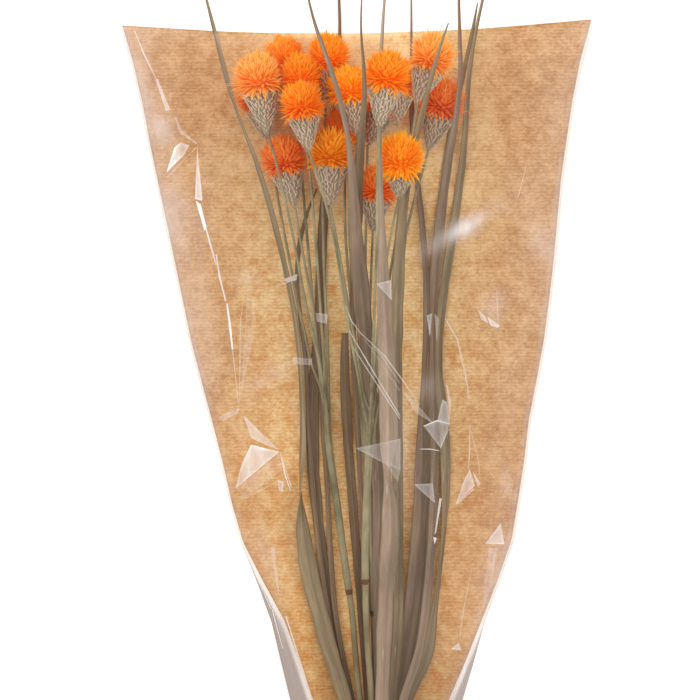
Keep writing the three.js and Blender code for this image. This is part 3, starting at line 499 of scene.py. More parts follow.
leaf_finishes = {
    "leaf_brown": dried_leaf("dried_leaf_brown", "#785F48", "#A88966", "#CCAE88"),
    "leaf_purple": dried_leaf("dried_leaf_purple_brown", "#86705C", "#B69A80", "#D6BFA4"),
    "leaf_olive": dried_leaf("dried_leaf_olive", "#887658", "#BDA681", "#DAC6A0"),
    "leaf_tan": dried_leaf("dried_leaf_tan", "#A08A74", "#CCB298", "#E2CEB8"),
}
print("leaf finishes:", [material.name for material in leaf_finishes.values()])

# %% [markdown]
# ### Stems, calyxes and blooms
# The thistles' stems are ribbed lengthwise and dry to a pale olive. A brown ring marks each joint.
# The calyx is a cup of small woolly scales, straw grey at the tips and darker at their roots.
# The florets are dyed and fade towards the tips; their colour is deepest in the depth of the bloom, partly as
# painted shade, and a painted glow stands in for light that shines through them.

# %% Stem finishes
STEM_RIB = 0.35


def dried_stem(name, dark, light):
    """A dried stem with fine ribs along it."""
    material, shader = finish(name, 0.6, **{"Specular IOR Level": 0.3})
    place = add(material, "TexCoord", out="Object")
    ribs = grain(material, stretched(material, place, (1, 0.03, 1)), per(STEM_RIB), 2)
    tone = maths(material, "MULTIPLY_ADD", ribs, 0.6, grain(material, place, per(30), 3))
    colour = ramp(material, ranged(material, tone, 0.5, 1.05), (0, dark), (1, light))
    # painted shade: the stem is painted darker towards its foot
    feed(shader, {"Base Color": painted_shade_low(material, place, colour, "#E0DCD8", *PAINTED_SHADE_HEIGHTS),
                  "Normal": relief(material, ribs, 0.4)})
    return material


stem_finishes = [dried_stem("dried_stem_olive", "#665E42", "#B5A884"),
                 dried_stem("dried_stem_pale", "#75684A", "#B6A67E"),
                 dried_stem("stem_joint_brown", "#4C3526", "#86603F"),
                 dried_stem("cut_stem_pith", "#B9A67C", "#E2D4B0")]
print("stem finishes:", [material.name for material in stem_finishes])


# %% Floret and calyx finishes
PAINTED_GLOW = 0.13  # painted light: the florets glow a little of their own, standing in for light that shines through the thin dyed florets


def along_each(name, roughness, stops, spread, **settings):
    """A finish that runs from root to tip of each floret or scale, and differs a little among them."""
    material, shader = finish(name, roughness, **settings)
    uv = axes_of(material, add(material, "TexCoord", out="UV"))
    level = maths(material, "MULTIPLY_ADD", uv["X"], spread, uv["Y"])
    feed(shader, {"Base Color": ramp(material, level, *stops)})
    return material


def dyed(name, depth, body, tip):
    """Dyed florets, palest at the tip and deepest in colour at the root, partly as painted shade, with a
    painted glow in their root colour.
    """
    return along_each(name, 0.75, [(0, depth), (0.5, body), (1, tip)], 0.4,
                      **{"Specular IOR Level": 0.05, "Emission Color": depth, "Emission Strength": PAINTED_GLOW})


floret_finishes = {
    "orange": dyed("dyed_florets_painted_light_orange", "#F86E00", "#FF9A12", "#FFBA42"),
    "bright": dyed("dyed_florets_painted_light_bright", "#FF8000", "#FFA814", "#FFCA48"),
    "golden": dyed("dyed_florets_painted_light_golden", "#E47800", "#F69C18", "#FFBC44"),
    "peach": dyed("dyed_florets_painted_light_peach", "#F88420", "#FFB248", "#FFD27C"),
    "deep": dyed("dyed_florets_painted_light_deep", "#DC5A10", "#F88830", "#FFAC54"),
}
calyx_finish = along_each("woolly_calyx", 0.85, [(0, "#B29F84"), (0.45, "#D8C1A5"), (1, "#EED7BD")], 0.33,
                          **{"Specular IOR Level": 0.2, "Sheen Weight": 0.25})
print("floret finishes:", list(floret_finishes))

# %% [markdown]
# ## The kraft paper back
# The paper is one thin sheet whose sides curl up a little. Its outline and its height are read
# from the solid: planes give its sides, and rays from above give its height.
# A grid is laid over it, evened out, and given the thickness of paper.

# %% Helpers for the pieces
def keep(bm, name, slot, materials, replaced):
    """Makes the finished bmesh a piece of the bouquet, in the place of the solids that it stands for."""
    mesh = bpy.data.meshes.new(name)
    bm.to_mesh(mesh)
    bm.free()
    for material in materials:
        mesh.materials.append(material)
    mesh.shade_smooth()
    piece = bpy.data.objects.new(name, mesh)
    scene.collection.objects.link(piece)
    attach(piece, "root")
    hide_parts(*replaced)
    return piece


def thicken(piece, thickness):
    """Gives a thin sheet its thickness, half of it on each side."""
    solidify = piece.modifiers.new("thickness", "SOLIDIFY")
    solidify.thickness = thickness
    solidify.offset = 0


def tree_of(name):
    """A solid in a form that rays can be cast at."""
    bm = merged(name)
    tree = BVHTree.FromBMesh(bm)
    bm.free()
    return tree


DOWN = Vector((0, 0, -1))
UP = Vector((0, 0, 1))
HIGH = 0.4  # rays start this far above or below the floor, in metres


def height_at(tree, x, y, way=DOWN):
    """Height of the first surface met from above, or from below if way is UP. None beside the solid."""
    hit = tree.ray_cast(Vector((x, y, HIGH if way == DOWN else -HIGH)), way)[0]
    return hit.z if hit else None


SPANS = 150  # cuts across a sheet from foot to mouth
END_GAP = 0.3 * MM
CORNER_JUMP = 3 * MM


def span_of(name):
    """Heights along the bouquet, with the left and right edge of a sheet at each."""
    bm = merged(name)
    low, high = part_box(name)
    ys = np.linspace(low.y + END_GAP, high.y - END_GAP, SPANS)
    cuts = [outlines_at(bm, y) for y in ys]
    bm.free()
    left = [min(corner.x for corner, _ in outlines) for outlines in cuts]
    right = [max(corner.x for _, corner in outlines) for outlines in cuts]
    for side in (left, right):
        for k in range(len(side) // 2, len(side)):
            if abs(side[k] - side[k - 1]) > CORNER_JUMP:  # past this corner the side goes straight on
                side[k] = 2 * side[k - 1] - side[k - 2]
    return ys, np.array(left), np.array(right)


def edges_at(span, y):
    """Left and right edge of a sheet at a height."""
    return [np.interp(y, span[0], side) for side in span[1:]]


TOP_STEP = 0.5 * MM
TOP_SMOOTH = 9  # the top edge is a mean over this many places


def top_edge(tree, span, shares):
    """How far up the sheet reaches at each share of its width."""
    tops = []
    for share in shares:
        y = span[0][-1]
        while height_at(tree, np.dot(edges_at(span, y), (1 - share, share)), y) is None:
            y -= TOP_STEP
        tops.append(y)
    padded = np.pad(tops, TOP_SMOOTH // 2, "reflect", reflect_type="odd")
    return np.convolve(padded, np.ones(TOP_SMOOTH) / TOP_SMOOTH, "valid")


def evened(heights, reach, passes=3):
    """Heights on a grid, each taken as the mean of its neighbours, a few times over."""
    weights = np.ones(2 * reach + 1) / (2 * reach + 1)
    for _ in range(passes):
        for axis in (0, 1):
            padding = [(reach, reach) if a == axis else (0, 0) for a in (0, 1)]
            padded = np.pad(heights, padding, mode="reflect", reflect_type="odd")
            heights = np.apply_along_axis(lambda line: np.convolve(line, weights, "valid"), axis, padded)
    return heights


def laid_over(tree, span, shares, steps, lowest):
    """Rows of places on top of a sheet's solid, from its foot up, at the given shares of its width."""
    foot = span[0][0]
    tops = top_edge(tree, span, shares)
    rows = []
    for up_share in np.linspace(0, 1, steps + 1):
        rows.append([])
        for share, top in zip(shares, tops):
            y = foot + (top - foot) * up_share
            left, right = edges_at(span, y)
            x = left + (right - left) * share
            rows[-1].append((x, y, height_at(tree, x, y) or lowest))
    return np.array(rows)


def sheet_grid(columns, rows):
    """A bmesh grid with its vertices sorted into rows, from the foot up."""
    bm = bmesh.new()
    bm.loops.layers.uv.new("UVMap")
    bmesh.ops.create_grid(bm, x_segments=columns, y_segments=rows, size=0.5, calc_uvs=True)
    verts = sorted(bm.verts, key=lambda v: (round(v.co.y, 5), v.co.x))
    return bm, [verts[r * (columns + 1):(r + 1) * (columns + 1)] for r in range(rows + 1)]


print("sheets are laid over their solids in up to", SPANS, "spans")

# %% The paper
PAPER_GRID = (90, 150)
PAPER_THICKNESS = 0.35 * MM
LOWEST = 0.6 * MM  # the paper's top lies no lower than this
WAVE_HEIGHT = 0.15 * MM  # paper never lies quite flat
WAVE_SIZE = 70 * MM

paper_span = span_of("sleeve_paper")
places = laid_over(tree_of("sleeve_paper"), paper_span, np.linspace(0.002, 0.998, PAPER_GRID[0] + 1),
                   PAPER_GRID[1], LOWEST)
heights = evened(places[:, :, 2], reach=4)
bm, rows = sheet_grid(*PAPER_GRID)
for row, line, levels in zip(rows, places, heights):
    for vert, place, height in zip(row, line, levels):
        vert.co = place
        wave = noise.noise(vert.co / WAVE_SIZE) * 0.5 + 0.5
        vert.co.z = max(height, LOWEST) - PAPER_THICKNESS / 2 + wave * WAVE_HEIGHT
paper = keep(bm, "sleeve_paper_sheet", "kraft", [kraft], ["sleeve_paper"])
thicken(paper, PAPER_THICKNESS)
print("paper:", len(paper.data.polygons), "faces")

# %% [markdown]
# ## The leaves
# A leaf starts as a flat grid, long and narrow. Each row of it moves to its place on the leaf's
# middle line, turns with the leaf's twist and bends into a shallow gutter, as grass blades do.
# Curves with a bevel would also follow the line, but a grid keeps the edges and veins in hand.

# %% Smooth lines
def smooth_line(rows, spacing):
    """Rows of numbers on a smooth line through the given ones. The first three are a place."""
    rows = np.array(rows, float)
    ends = np.vstack([2 * rows[0] - rows[1], rows, 2 * rows[-1] - rows[-2]])
    line = []
    for p0, p1, p2, p3 in zip(ends, ends[1:], ends[2:], ends[3:]):
        count = max(1, round(float(np.linalg.norm((p2 - p1)[:3])) / spacing))
        for t in np.arange(count) / count:
            line.append(0.5 * (2 * p1 + (p2 - p0) * t + (2 * p0 - 5 * p1 + 4 * p2 - p3) * t**2
                               + (3 * p1 - p0 - 3 * p2 + p3) * t**3))
    return np.array([*line, rows[-1]])


def directions_of(line):
    """The direction of a line of points at each of them."""
    steps = np.gradient(line, axis=0)
    return steps / np.linalg.norm(steps, axis=1)[:, None]


print("lines are ready to be smoothed")

# %% Leaves
LEAF_COLUMNS = 8
LEAF_SPACING = 3.2 * MM
LEAF_THICKNESS = 0.4 * MM
GUTTER = 0.09  # depth of the gutter, as a share of the width
RAGGED = 0.07  # how far the edges wander, as a share of the width
RIPPLE = 0.05
BUMP_LENGTH = 30 * MM  # how far apart wandering and ripples are
UV_LENGTH = 10 * MM  # one unit of uv runs this far along a leaf
SLIM_WITHIN = 70  # a blade comes down to its slim share over this many mm
BELOW_ALL = -400
# The finish of each leaf, the share of its solid's width that it slims to, and from which height in mm.
LEAVES = {
    "leaf_left_dark": ("leaf_brown", 0.8, BELOW_ALL),
    "leaf_left_slim": ("leaf_brown", 0.75, BELOW_ALL),
    "leaf_left_shred": ("leaf_brown", 1, 0),
    "leaf_left_long": ("leaf_olive", 0.6, -60),
    "leaf_middle_thin": ("leaf_brown", 0.6, 150),
    "leaf_middle_torn": ("leaf_brown", 1, 0),
    "leaf_middle_tan": ("leaf_tan", 0.5, 70),
    "leaf_diagonal": ("leaf_purple", 0.6, 130),
    "leaf_right_purple": ("leaf_purple", 0.8, -250),
    "leaf_right_long": ("leaf_purple", 0.75, BELOW_ALL),
    "leaf_right_inner": ("leaf_olive", 0.75, BELOW_ALL),
    "leaf_right_tan": ("leaf_olive", 0.85, BELOW_ALL),
    "leaf_right_olive": ("leaf_olive", 0.8, 40),
}


def leaf_blade(name, seed):
    """One leaf, along the line that was read from its solid."""
    slot, slim, above = LEAVES[name]
    line = smooth_line([(*middle, width, *way) for middle, width, way in leaf_lines[name]], LEAF_SPACING)
    forward = directions_of(line[:, :3])
    bm, rows = sheet_grid(LEAF_COLUMNS, len(line) - 1)
    for row, station, ahead in zip(rows, line, forward):
        middle, across = Vector(station[:3]), Vector(station[4:]).normalized()
        width = station[3] * (1 + (slim - 1) * min(1, max(0, (middle.y / MM - above) / SLIM_WITHIN)))
        face = across.cross(Vector(ahead)).normalized()
        place = middle.y / BUMP_LENGTH
        for column, vert in enumerate(row):
            share = 2 * column / LEAF_COLUMNS - 1
            wander = noise.noise(Vector((place * 1.7, seed * 5.1 + (share > 0), 0))) * RAGGED * abs(share)
            ripple = noise.noise(Vector((place, share * 1.3, seed * 3.7))) * RIPPLE
            lift = (GUTTER * (share**2 - 0.4) + ripple) * width
            vert.co = middle + across * (share / 2 + wander) * width + face * lift
    uv = bm.loops.layers.uv.active
    for face in bm.faces:
        for loop in face.loops:
            loop[uv].uv.y *= len(line) * LEAF_SPACING / UV_LENGTH
    blade = keep(bm, name + "_blade", slot, [leaf_finishes[slot]], [name])
    thicken(blade, LEAF_THICKNESS)
    return blade


blades = [leaf_blade(name, seed) for seed, name in enumerate(leaf_names)]
print("leaves:", len(blades), "with", sum(len(blade.data.polygons) for blade in blades), "faces")

# %% [markdown]
# ## The thistle plants
# A stalk runs from its cut foot to a fork, and each head's stem leaves it there.
# Above a joint the stalk is wrapped in a leaf sheath and looks thicker, and below it is bare and pale.
# A bevelled curve is the plain way to make a round stem whose thickness changes from point to point.
# The curves become meshes, and one mesh holds a plant's stalk, stems and joints.

# %% Stems
STEM_SPACING = 4 * MM
STEM_TOP, STEM_FOOT = 0.9 * MM, 1.25 * MM  # radius of a stem below its head, and where it parts
SHEATH, BARE = 2.75 * MM, 2.2 * MM  # radius of the stalk above and below its joint
JOINTS = {"thistle_left": -131 * MM, "thistle_right": -124 * MM, "thistle_back": -147 * MM}
JOINT_LENGTH = 2.8 * MM
JOINT_SWELL = 0.2 * MM
PAST_FORK = (12 * MM, 24 * MM)  # the stalk's line runs on to these distances past its fork
TAPER = 6  # and thins over this many last points
FORK_REACH = 38 * MM  # how far below its parting a stem runs inside the stalk
SUNK = 4 * MM  # how far a stem runs up into its calyx
STEM_SIDES = 3  # resolution of the bevel
CUT_FACE = 0.1 * MM


def tube(points, radii):
    """A closed round tube through points, as a mesh."""
    curve = bpy.data.curves.new("line", "CURVE")
    curve.dimensions = "3D"
    curve.bevel_depth = 1
    curve.bevel_resolution = STEM_SIDES
    curve.use_fill_caps = True
    spline = curve.splines.new("POLY")
    spline.points.add(len(points) - 1)
    for point, place, radius in zip(spline.points, points, radii):
        point.co = (*place, 1)
        point.radius = radius
    holder = bpy.data.objects.new("line", curve)
    mesh = bpy.data.meshes.new_from_object(holder)
    bpy.data.objects.remove(holder)
    bpy.data.curves.remove(curve)
    return mesh


def stalk_radius(y, plant):
    """Radius of the stalk at y: thick above its joint, thin below it, with a swelling between."""
    from_joint = y - JOINTS[plant]
    swell = JOINT_SWELL * math.exp(-((from_joint / JOINT_LENGTH) ** 2))
    return (SHEATH if from_joint > 0 else BARE) + swell


def stalk_line(plant):
    """The stalk's middle line, drawn on past the fork and there brought down to a stem's thickness."""
    line = stalks[plant]
    ahead = (line[-1] - line[-6]).normalized()
    return smooth_line([*line[::3], *(line[-1] + ahead * reach for reach in PAST_FORK)], STEM_SPACING)


def stem_points(head):
    """The middle line of a head's stem, from its calyx down into the stalk."""
    line = head["branch"]
    stalk = stalks[head["plant"]]
    inside = line[-1].y - FORK_REACH
    beyond = (inside - stalk[-1].y) / (stalk[-1].y - stalk[-6].y)
    base = (min(stalk, key=lambda p: abs(p.y - inside)) if beyond < 0
            else stalk[-1] + (stalk[-1] - stalk[-6]) * beyond)
    return smooth_line([head["foot"] + head["axis"] * SUNK, *line[:-1:3], line[-1], base], STEM_SPACING)


def stem_finish_at(y, foot, from_joint):
    """Which of the stem's finishes a face has: sheath, bare stalk, joint or cut foot."""
    if y < foot + CUT_FACE:
        return 3
    return 2 if abs(from_joint) < JOINT_LENGTH / 2 else int(from_joint < 0)


for plant in plants:
    bm = bmesh.new()
    points = stalk_line(plant)
    radii = [stalk_radius(p[1], plant) for p in points]
    radii[-TAPER:] = np.linspace(radii[-TAPER - 1], STEM_FOOT, TAPER)
    bm.from_mesh(tube(points, radii))
    for head in heads_on[plant]:
        points = stem_points(head)
        bm.from_mesh(tube(points, np.linspace(STEM_TOP, STEM_FOOT, len(points))))
    bmesh.ops.recalc_face_normals(bm, faces=bm.faces[:])
    foot = min(vert.co.y for vert in bm.verts)
    for face in bm.faces:
        y = face.calc_center_median().y
        face.material_index = stem_finish_at(y, foot, y - JOINTS[plant])
    stems = keep(bm, plant + "_stems", "stem", stem_finishes, [plant])
    print(plant, "stems:", len(stems.data.polygons), "faces")

# %% [markdown]
# ### Calyxes
# Each head sits in a cup of small scales that overlap like roof tiles, with the tips standing off.
# The cup is a profile spun round the head's axis. One scale is shaped once, and copies of it are
# set round the cup in rows, each turned by a small seeded chance.

# %% Scatter helper
def shape_of(bm):
    """The mesh of a small shape, with its corners and its uv as arrays."""
    mesh = bpy.data.meshes.new("shape")
    bm.to_mesh(mesh)
    bm.free()
    corners = np.empty(len(mesh.vertices) * 3)
    mesh.vertices.foreach_get("co", corners)
    uv = np.empty(len(mesh.loops) * 2)
    mesh.uv_layers[0].uv.foreach_get("vector", uv)
    return mesh, corners.reshape(-1, 3), uv.reshape(-1, 2)


def scatter(bm, shape, places):
    """Adds a copy of the shape at each place: a matrix, and the tone that its uv carries."""
    mesh, corners, uv = shape
    for matrix, tone in places:
        turned = np.array(matrix)
        mesh.vertices.foreach_set("co", (corners @ turned[:3, :3].T + turned[:3, 3]).ravel())
        mesh.uv_layers[0].uv.foreach_set("vector", (uv + (tone, 0)).ravel())
        bm.from_mesh(mesh)


def pointing(place, way, out, size):
    """A matrix that stands a shape's z along way, turns its y towards out, and scales it to size."""
    z = way.normalized()
    x = out.cross(z).normalized()
    y = z.cross(x)
    turned = Matrix((x * size[0], y * size[1], z * size[2])).transposed().to_4x4()
    turned.translation = place
    return turned


def round_axis(axis, angle):
    """The way out from an axis at an angle round it."""
    side = axis.cross(UP).normalized()
    return side * math.cos(angle) + axis.cross(side) * math.sin(angle)


def pointed_blade(widths, bow, sides=4):
    """A slim pointed shape one unit long, with the given half widths on its way to the tip."""
    bm = bmesh.new()
    uv = bm.loops.layers.uv.new("UVMap")
    bmesh.ops.create_circle(bm, cap_ends=False, segments=sides, radius=widths[0])
    ring = bm.edges[:]
    heights = np.linspace(0, 1, len(widths) + 1)
    for width, before, height in zip([*widths[1:], 0], widths, heights[1:]):
        made = bmesh.ops.extrude_edge_only(bm, edges=ring)["geom"]
        ring = [item for item in made if isinstance(item, bmesh.types.BMEdge)]
        verts = [item for item in made if isinstance(item, bmesh.types.BMVert)]
        for vert in verts:
            vert.co = (vert.co.x * width / before, vert.co.y * width / before, height)
    bmesh.ops.remove_doubles(bm, verts=verts, dist=1e-6)
    bmesh.ops.recalc_face_normals(bm, faces=bm.faces[:])
    for face in bm.faces:
        for loop in face.loops:
            loop[uv].uv = (0, loop.vert.co.z)
    for vert in bm.verts:
        vert.co.y += bow * vert.co.z**2
    return shape_of(bm)


print("small shapes can be scattered")

# %% Calyxes
CALYX_ROWS = 17
SCALES_AT_RIM = 32
LEAST_SCALES = 5
SCALE_SIZE = (1.9, 0.8, 4.6)
SMALLEST_SCALE = 0.55  # the scales at the foot, as a share of those at the rim
CUP_PROFILE, CUP_SIDES = 9, 24
CUP_FOOT, RIM_RADIUS = 1.3, 12.8  # radius of the calyx at its foot and rim, in mm
RIM_GAP = 2 * MM  # the cup ends this far below the mouth of the solid's calyx
CUP_SKIN = 0.5 * MM  # the cup's skin lies this far inside the calyx's radius
ROOT_SUNK = 0.4 * MM  # and the scales' roots this far
OVERLAP = 0.06  # each row starts this share of the height below its place
STAND_OFF = 0.1  # how far scales stand off the cup, as a slope
RIM_FLARE, FLARED_FROM = 0.7, 0.7  # and how much more at the rim, starting at this share of the height
SIDEWAYS = 0.9  # how far scales may turn aside, as a slope

scale_shape = pointed_blade([0.32, 0.5, 0.4, 0.16], bow=0.3)


def cup_radius(share, head):
    """Radius of the calyx on its way up from the foot, in metres."""
    return (CUP_FOOT + (RIM_RADIUS - CUP_FOOT) * share**0.75) * MM * head["size"]


def calyx(head, bm, rng):
    """The cup of one head with its scales."""
    axis, foot = head["axis"], head["foot"]
    side = axis.cross(UP).normalized()
    height = head["length"] - (RIM_DEPTH + RIM_GAP) * head["size"]
    profile = [foot + axis * height * share + side * (cup_radius(share, head) - CUP_SKIN)
               for share in np.linspace(0, 1, CUP_PROFILE)]
    inside = foot + axis * (height - 1 * MM)
    verts = [bm.verts.new(point) for point in [*profile, inside]]
    edges = [bm.edges.new(pair) for pair in zip(verts, verts[1:])]
    bmesh.ops.spin(bm, geom=verts + edges, cent=foot, axis=axis, angle=2 * math.pi, steps=CUP_SIDES,
                   use_merge=True)
    places = []
    for row in range(CALYX_ROWS):
        share = (row + 0.4) / CALYX_ROWS
        count = max(LEAST_SCALES, round(SCALES_AT_RIM * share**0.8))
        slope = (cup_radius(share + 0.02, head) - cup_radius(share, head)) / (0.02 * height)
        rim_flare = RIM_FLARE * max(0, share - FLARED_FROM) / (1 - FLARED_FROM)
        for k in range(count):
            out = round_axis(axis, 2 * math.pi * (k + 0.5 * (row % 2) + rng.uniform(-0.25, 0.25)) / count)
            flare = slope + STAND_OFF + rim_flare + rng.uniform(-0.1, 0.3)
            up = axis + out * flare + axis.cross(out) * rng.uniform(-SIDEWAYS, SIDEWAYS)
            root = foot + axis * height * (share - OVERLAP) + out * (cup_radius(share, head) - ROOT_SUNK)
            grow = (SMALLEST_SCALE + (1 - SMALLEST_SCALE) * share) * rng.uniform(0.85, 1.15) * head["size"]
            places.append((pointing(root, up, out, [grow * s * MM for s in SCALE_SIZE]), rng.random()))
    scatter(bm, scale_shape, places)
    return len(places)


scale_count = 0
for plant in plants:
    bm = bmesh.new()
    bm.loops.layers.uv.new("UVMap")
    for head in heads_on[plant]:
        scale_count += calyx(head, bm, random.Random(head["name"]))
    keep(bm, plant + "_calyxes", "stem", [calyx_finish], [plant])
print("calyx scales:", scale_count)

# %% [markdown]
# ### Blooms
# A bloom is a dome packed with narrow dyed florets that all lean a little towards its top.
# Evenly spread directions come from the golden angle, as on a real seed head. Each floret is cast
# as a ray first, so that it stops short of the leaf, stem or neighbour that presses against the bloom.

# %% Blooms
FLORETS = 820
FLORET_FROM = -0.78  # florets grow where the ball looks no further back than this
FLORET_LEAN = 0.85
LOW_ROOTS = 5 * MM  # the lowest ones grow this far down the calyx
ROOT_DEPTH = 0.78  # florets are rooted at this share of the core's radius
FLORET_STRAY = 0.26
SPREAD = 0.15  # how much longer the side florets are than the top ones
TUFTS, TUFT_COUNT = 0.3, 4  # florets stand in tufts: how uneven, and how many side by side
FLORET_WIDTH, FLORET_DEPTH = 3.2, 0.9
SHORTEST = 1 * MM
GOLDEN = math.pi * (3 - math.sqrt(5))
CLEARANCE = 0.4 * MM
PRESSED = 1.04  # florets pass the meeting plane of two blooms by this factor
FLORET_TONES = {"peach": (12, 17), "bright": (10, 14), "golden": (13,), "deep": (1, 3, 4, 5, 6, 7, 11)}

floret_shape = pointed_blade([0.34, 0.5, 0.4, 0.17], bow=0.12)
solid_trees = {name: tree_of(name) for name in nodes if not name.startswith("bloom_")}


def reach_of(head, out, most):
    """How far a floret may reach from the bloom's middle before it meets another piece."""
    reach = most
    for tree in solid_trees.values():
        hit = tree.ray_cast(head["middle"], out, most)
        if hit[0] is not None:
            reach = min(reach, hit[3] - CLEARANCE)
    for other in heads:
        towards = other["middle"] - head["middle"]
        lean = out.dot(towards.normalized()) if other is not head else 0
        if lean > 0:
            meeting = towards.length * head["size"] / (head["size"] + other["size"])
            reach = min(reach, meeting * PRESSED / lean)
    return reach


def floret_places(head, core):
    """Where each floret of a bloom stands, and its tone."""
    rng = random.Random(head["name"] + "florets")
    axis, middle, size = head["axis"], head["middle"], head["size"]
    for k in range(FLORETS):
        level = 1 - (1 - FLORET_FROM) * (k + 0.5) / FLORETS
        ring = math.sqrt(1 - level**2)
        out = axis * level + round_axis(axis, k * GOLDEN) * ring
        full = BRISTLE_RADIUS * size * rng.uniform(0.86, 1.14) * (1 + SPREAD * (1 - max(0, level)))
        full *= 1 + TUFTS * noise.noise(out * TUFT_COUNT + middle / MM)
        length = reach_of(head, out, full) - core * ROOT_DEPTH
        if length < SHORTEST:
            continue
        root = middle + out * core * ROOT_DEPTH + axis * LOW_ROOTS * min(0, level)
        bend = FLORET_LEAN * ring * max(0, 1 + min(0, level) / 0.5)
        way = out + axis * bend + Vector([rng.uniform(-FLORET_STRAY, FLORET_STRAY) for _ in range(3)])
        shape = (FLORET_WIDTH * MM * size, FLORET_DEPTH * MM * size, length)
        yield pointing(root, way, out.cross(axis).cross(out) + out * 0.01, shape), rng.random() - 0.5


def bloom(head):
    """One bloom: a core in the florets' root colour, which is partly painted shade, and florets out to its
    full radius.
    """
    bm = bmesh.new()
    bm.loops.layers.uv.new("UVMap")
    core = CORE_RADIUS * head["size"]
    bmesh.ops.create_icosphere(bm, subdivisions=3, radius=core * 0.9,
                               matrix=Matrix.Translation(head["middle"]), calc_uvs=False)
    places = list(floret_places(head, core))
    scatter(bm, floret_shape, places)
    number = int(head["name"][-2:])
    tone = next((tone for tone, numbers in FLORET_TONES.items() if number in numbers), "orange")
    slot = "bloom_deep" if tone == "deep" else "bloom_orange"
    keep(bm, head["name"] + "_florets", slot, [floret_finishes[tone]], [head["name"]])
    return len(places)


print("florets:", sum(bloom(head) for head in heads), "in", len(heads), "blooms")

# %% [markdown]
# ## The rubber band
# A thin rubber band is wound round the stems several times near their feet. One winding is a round
# line that follows the outline of the bundle, and each next one lies beside it, slightly askew.
# Natural rubber is tan and cloudy, and fine powder keeps it from sticking. So its colour drifts
# softly over a few millimetres, with specks of powder, and it has only a dull gloss.

# %% The band
WINDINGS = 5
ROUND_STEPS = 72
SQUARENESS = 3.2  # 2 would wind it in an ellipse, and more is squarer

rubber, shader = finish("powdered_natural_rubber", 0.55)
powder = grain(rubber, add(rubber, "TexCoord", out="Object"), per(4), 5, 0.7)
feed(shader, {"Base Color": ramp(rubber, powder, (0.35, "#A4753F"), (0.68, "#D0A572"))})

low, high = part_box("stem_band")
cord_radius = (high.y - low.y) / WINDINGS / 2
middle, half = (low + high) / 2, (high - low) / 2
points = []
for y_share in np.linspace(0, 1, WINDINGS * ROUND_STEPS + 1):
    turn = 2 * math.pi * y_share * WINDINGS
    x, z = math.cos(turn), math.sin(turn)
    squared = (abs(x) ** SQUARENESS + abs(z) ** SQUARENESS) ** (-1 / SQUARENESS)
    points.append((middle.x + x * squared * (half.x - cord_radius),
                   low.y + cord_radius + (high.y - low.y - 2 * cord_radius) * y_share,
                   middle.z + z * squared * (half.z - cord_radius)))
bm = bmesh.new()
bm.from_mesh(tube(points, [cord_radius * 0.98] * len(points)))
keep(bm, "stem_band_windings", "band", [rubber], ["stem_band"])
print("band:", WINDINGS, "windings of", round(2 * cord_radius / MM, 2), "mm")

# %% [markdown]
# ## The clear film
# The film is sealed to the paper along both sides, folds back at its outer edges and arches over
# the flowers. It is one sheet: a strip on the paper, the fold, the arch, the other fold and strip.
# Clear film shows itself by the light its creases mirror, which is painted here: flat facets are painted
# milky, and fine ridges are painted bright.
# Planes cut every facet's outline into the sheet, so its edges stay as sharp as a real crease.

# %% Film finish
LEAST_HAZE, EDGE_PAINTED_REFLECTION, FOLD_HAZE = 0.008, 0.22, 0.65  # milkiness of flat film, painted reflection on steep film, and milkiness of folded film


def clear_film(name):
    """Film that is see-through except where a faint haze, its folds, and painted reflections carried by its
    uv and its slope make it milky.
    """
    material, shader = finish(name, 0.14, 1.49)
    place, uv = (add(material, "TexCoord", out=kind) for kind in ("Object", "UV"))
    folded = axes_of(material, add(material, "UVMap", {"uv_map": "folds"}))["X"]
    painted_reflection = axes_of(material, uv)
    cloud = grain(material, stretched(material, place, (1, 0.35, 1)), per(22), 5, 0.6)
    # painted reflection: the facets' and patches' milk from the uv, broken up into clouds
    painted_reflection_sum = maths(material, "ADD", painted_reflection["X"], painted_reflection["Y"])
    painted_reflection_milk = maths(material, "MULTIPLY", painted_reflection_sum, ranged(material, cloud, 0.35, 0.65, 0.6, 1.2))
    # painted reflection: steep film is painted milkier, standing in for the light that it mirrors at a slant
    steep = maths(material, "POWER", add(material, "LayerWeight", {"Blend": 0.5}, "Facing"), 5)
    haze_and_painted_reflection = maths(material, "MULTIPLY_ADD", steep, EDGE_PAINTED_REFLECTION, LEAST_HAZE)
    doubled = maths(material, "MULTIPLY_ADD", folded, FOLD_HAZE, haze_and_painted_reflection)
    tint = mixed(material, folded, "#F1E2DC", "#A08A7C")
    alpha = add(material, "Math", {"operation": "ADD", "use_clamp": True, 0: doubled, 1: painted_reflection_milk})
    # painted reflection: the milky places are painted white
    feed(shader, {"Base Color": mixed(material, painted_reflection_milk, tint, "#FFFFFF"), "Alpha": alpha})
    return material


film = clear_film("clear_polypropylene_film")
print("film finish:", film.name)

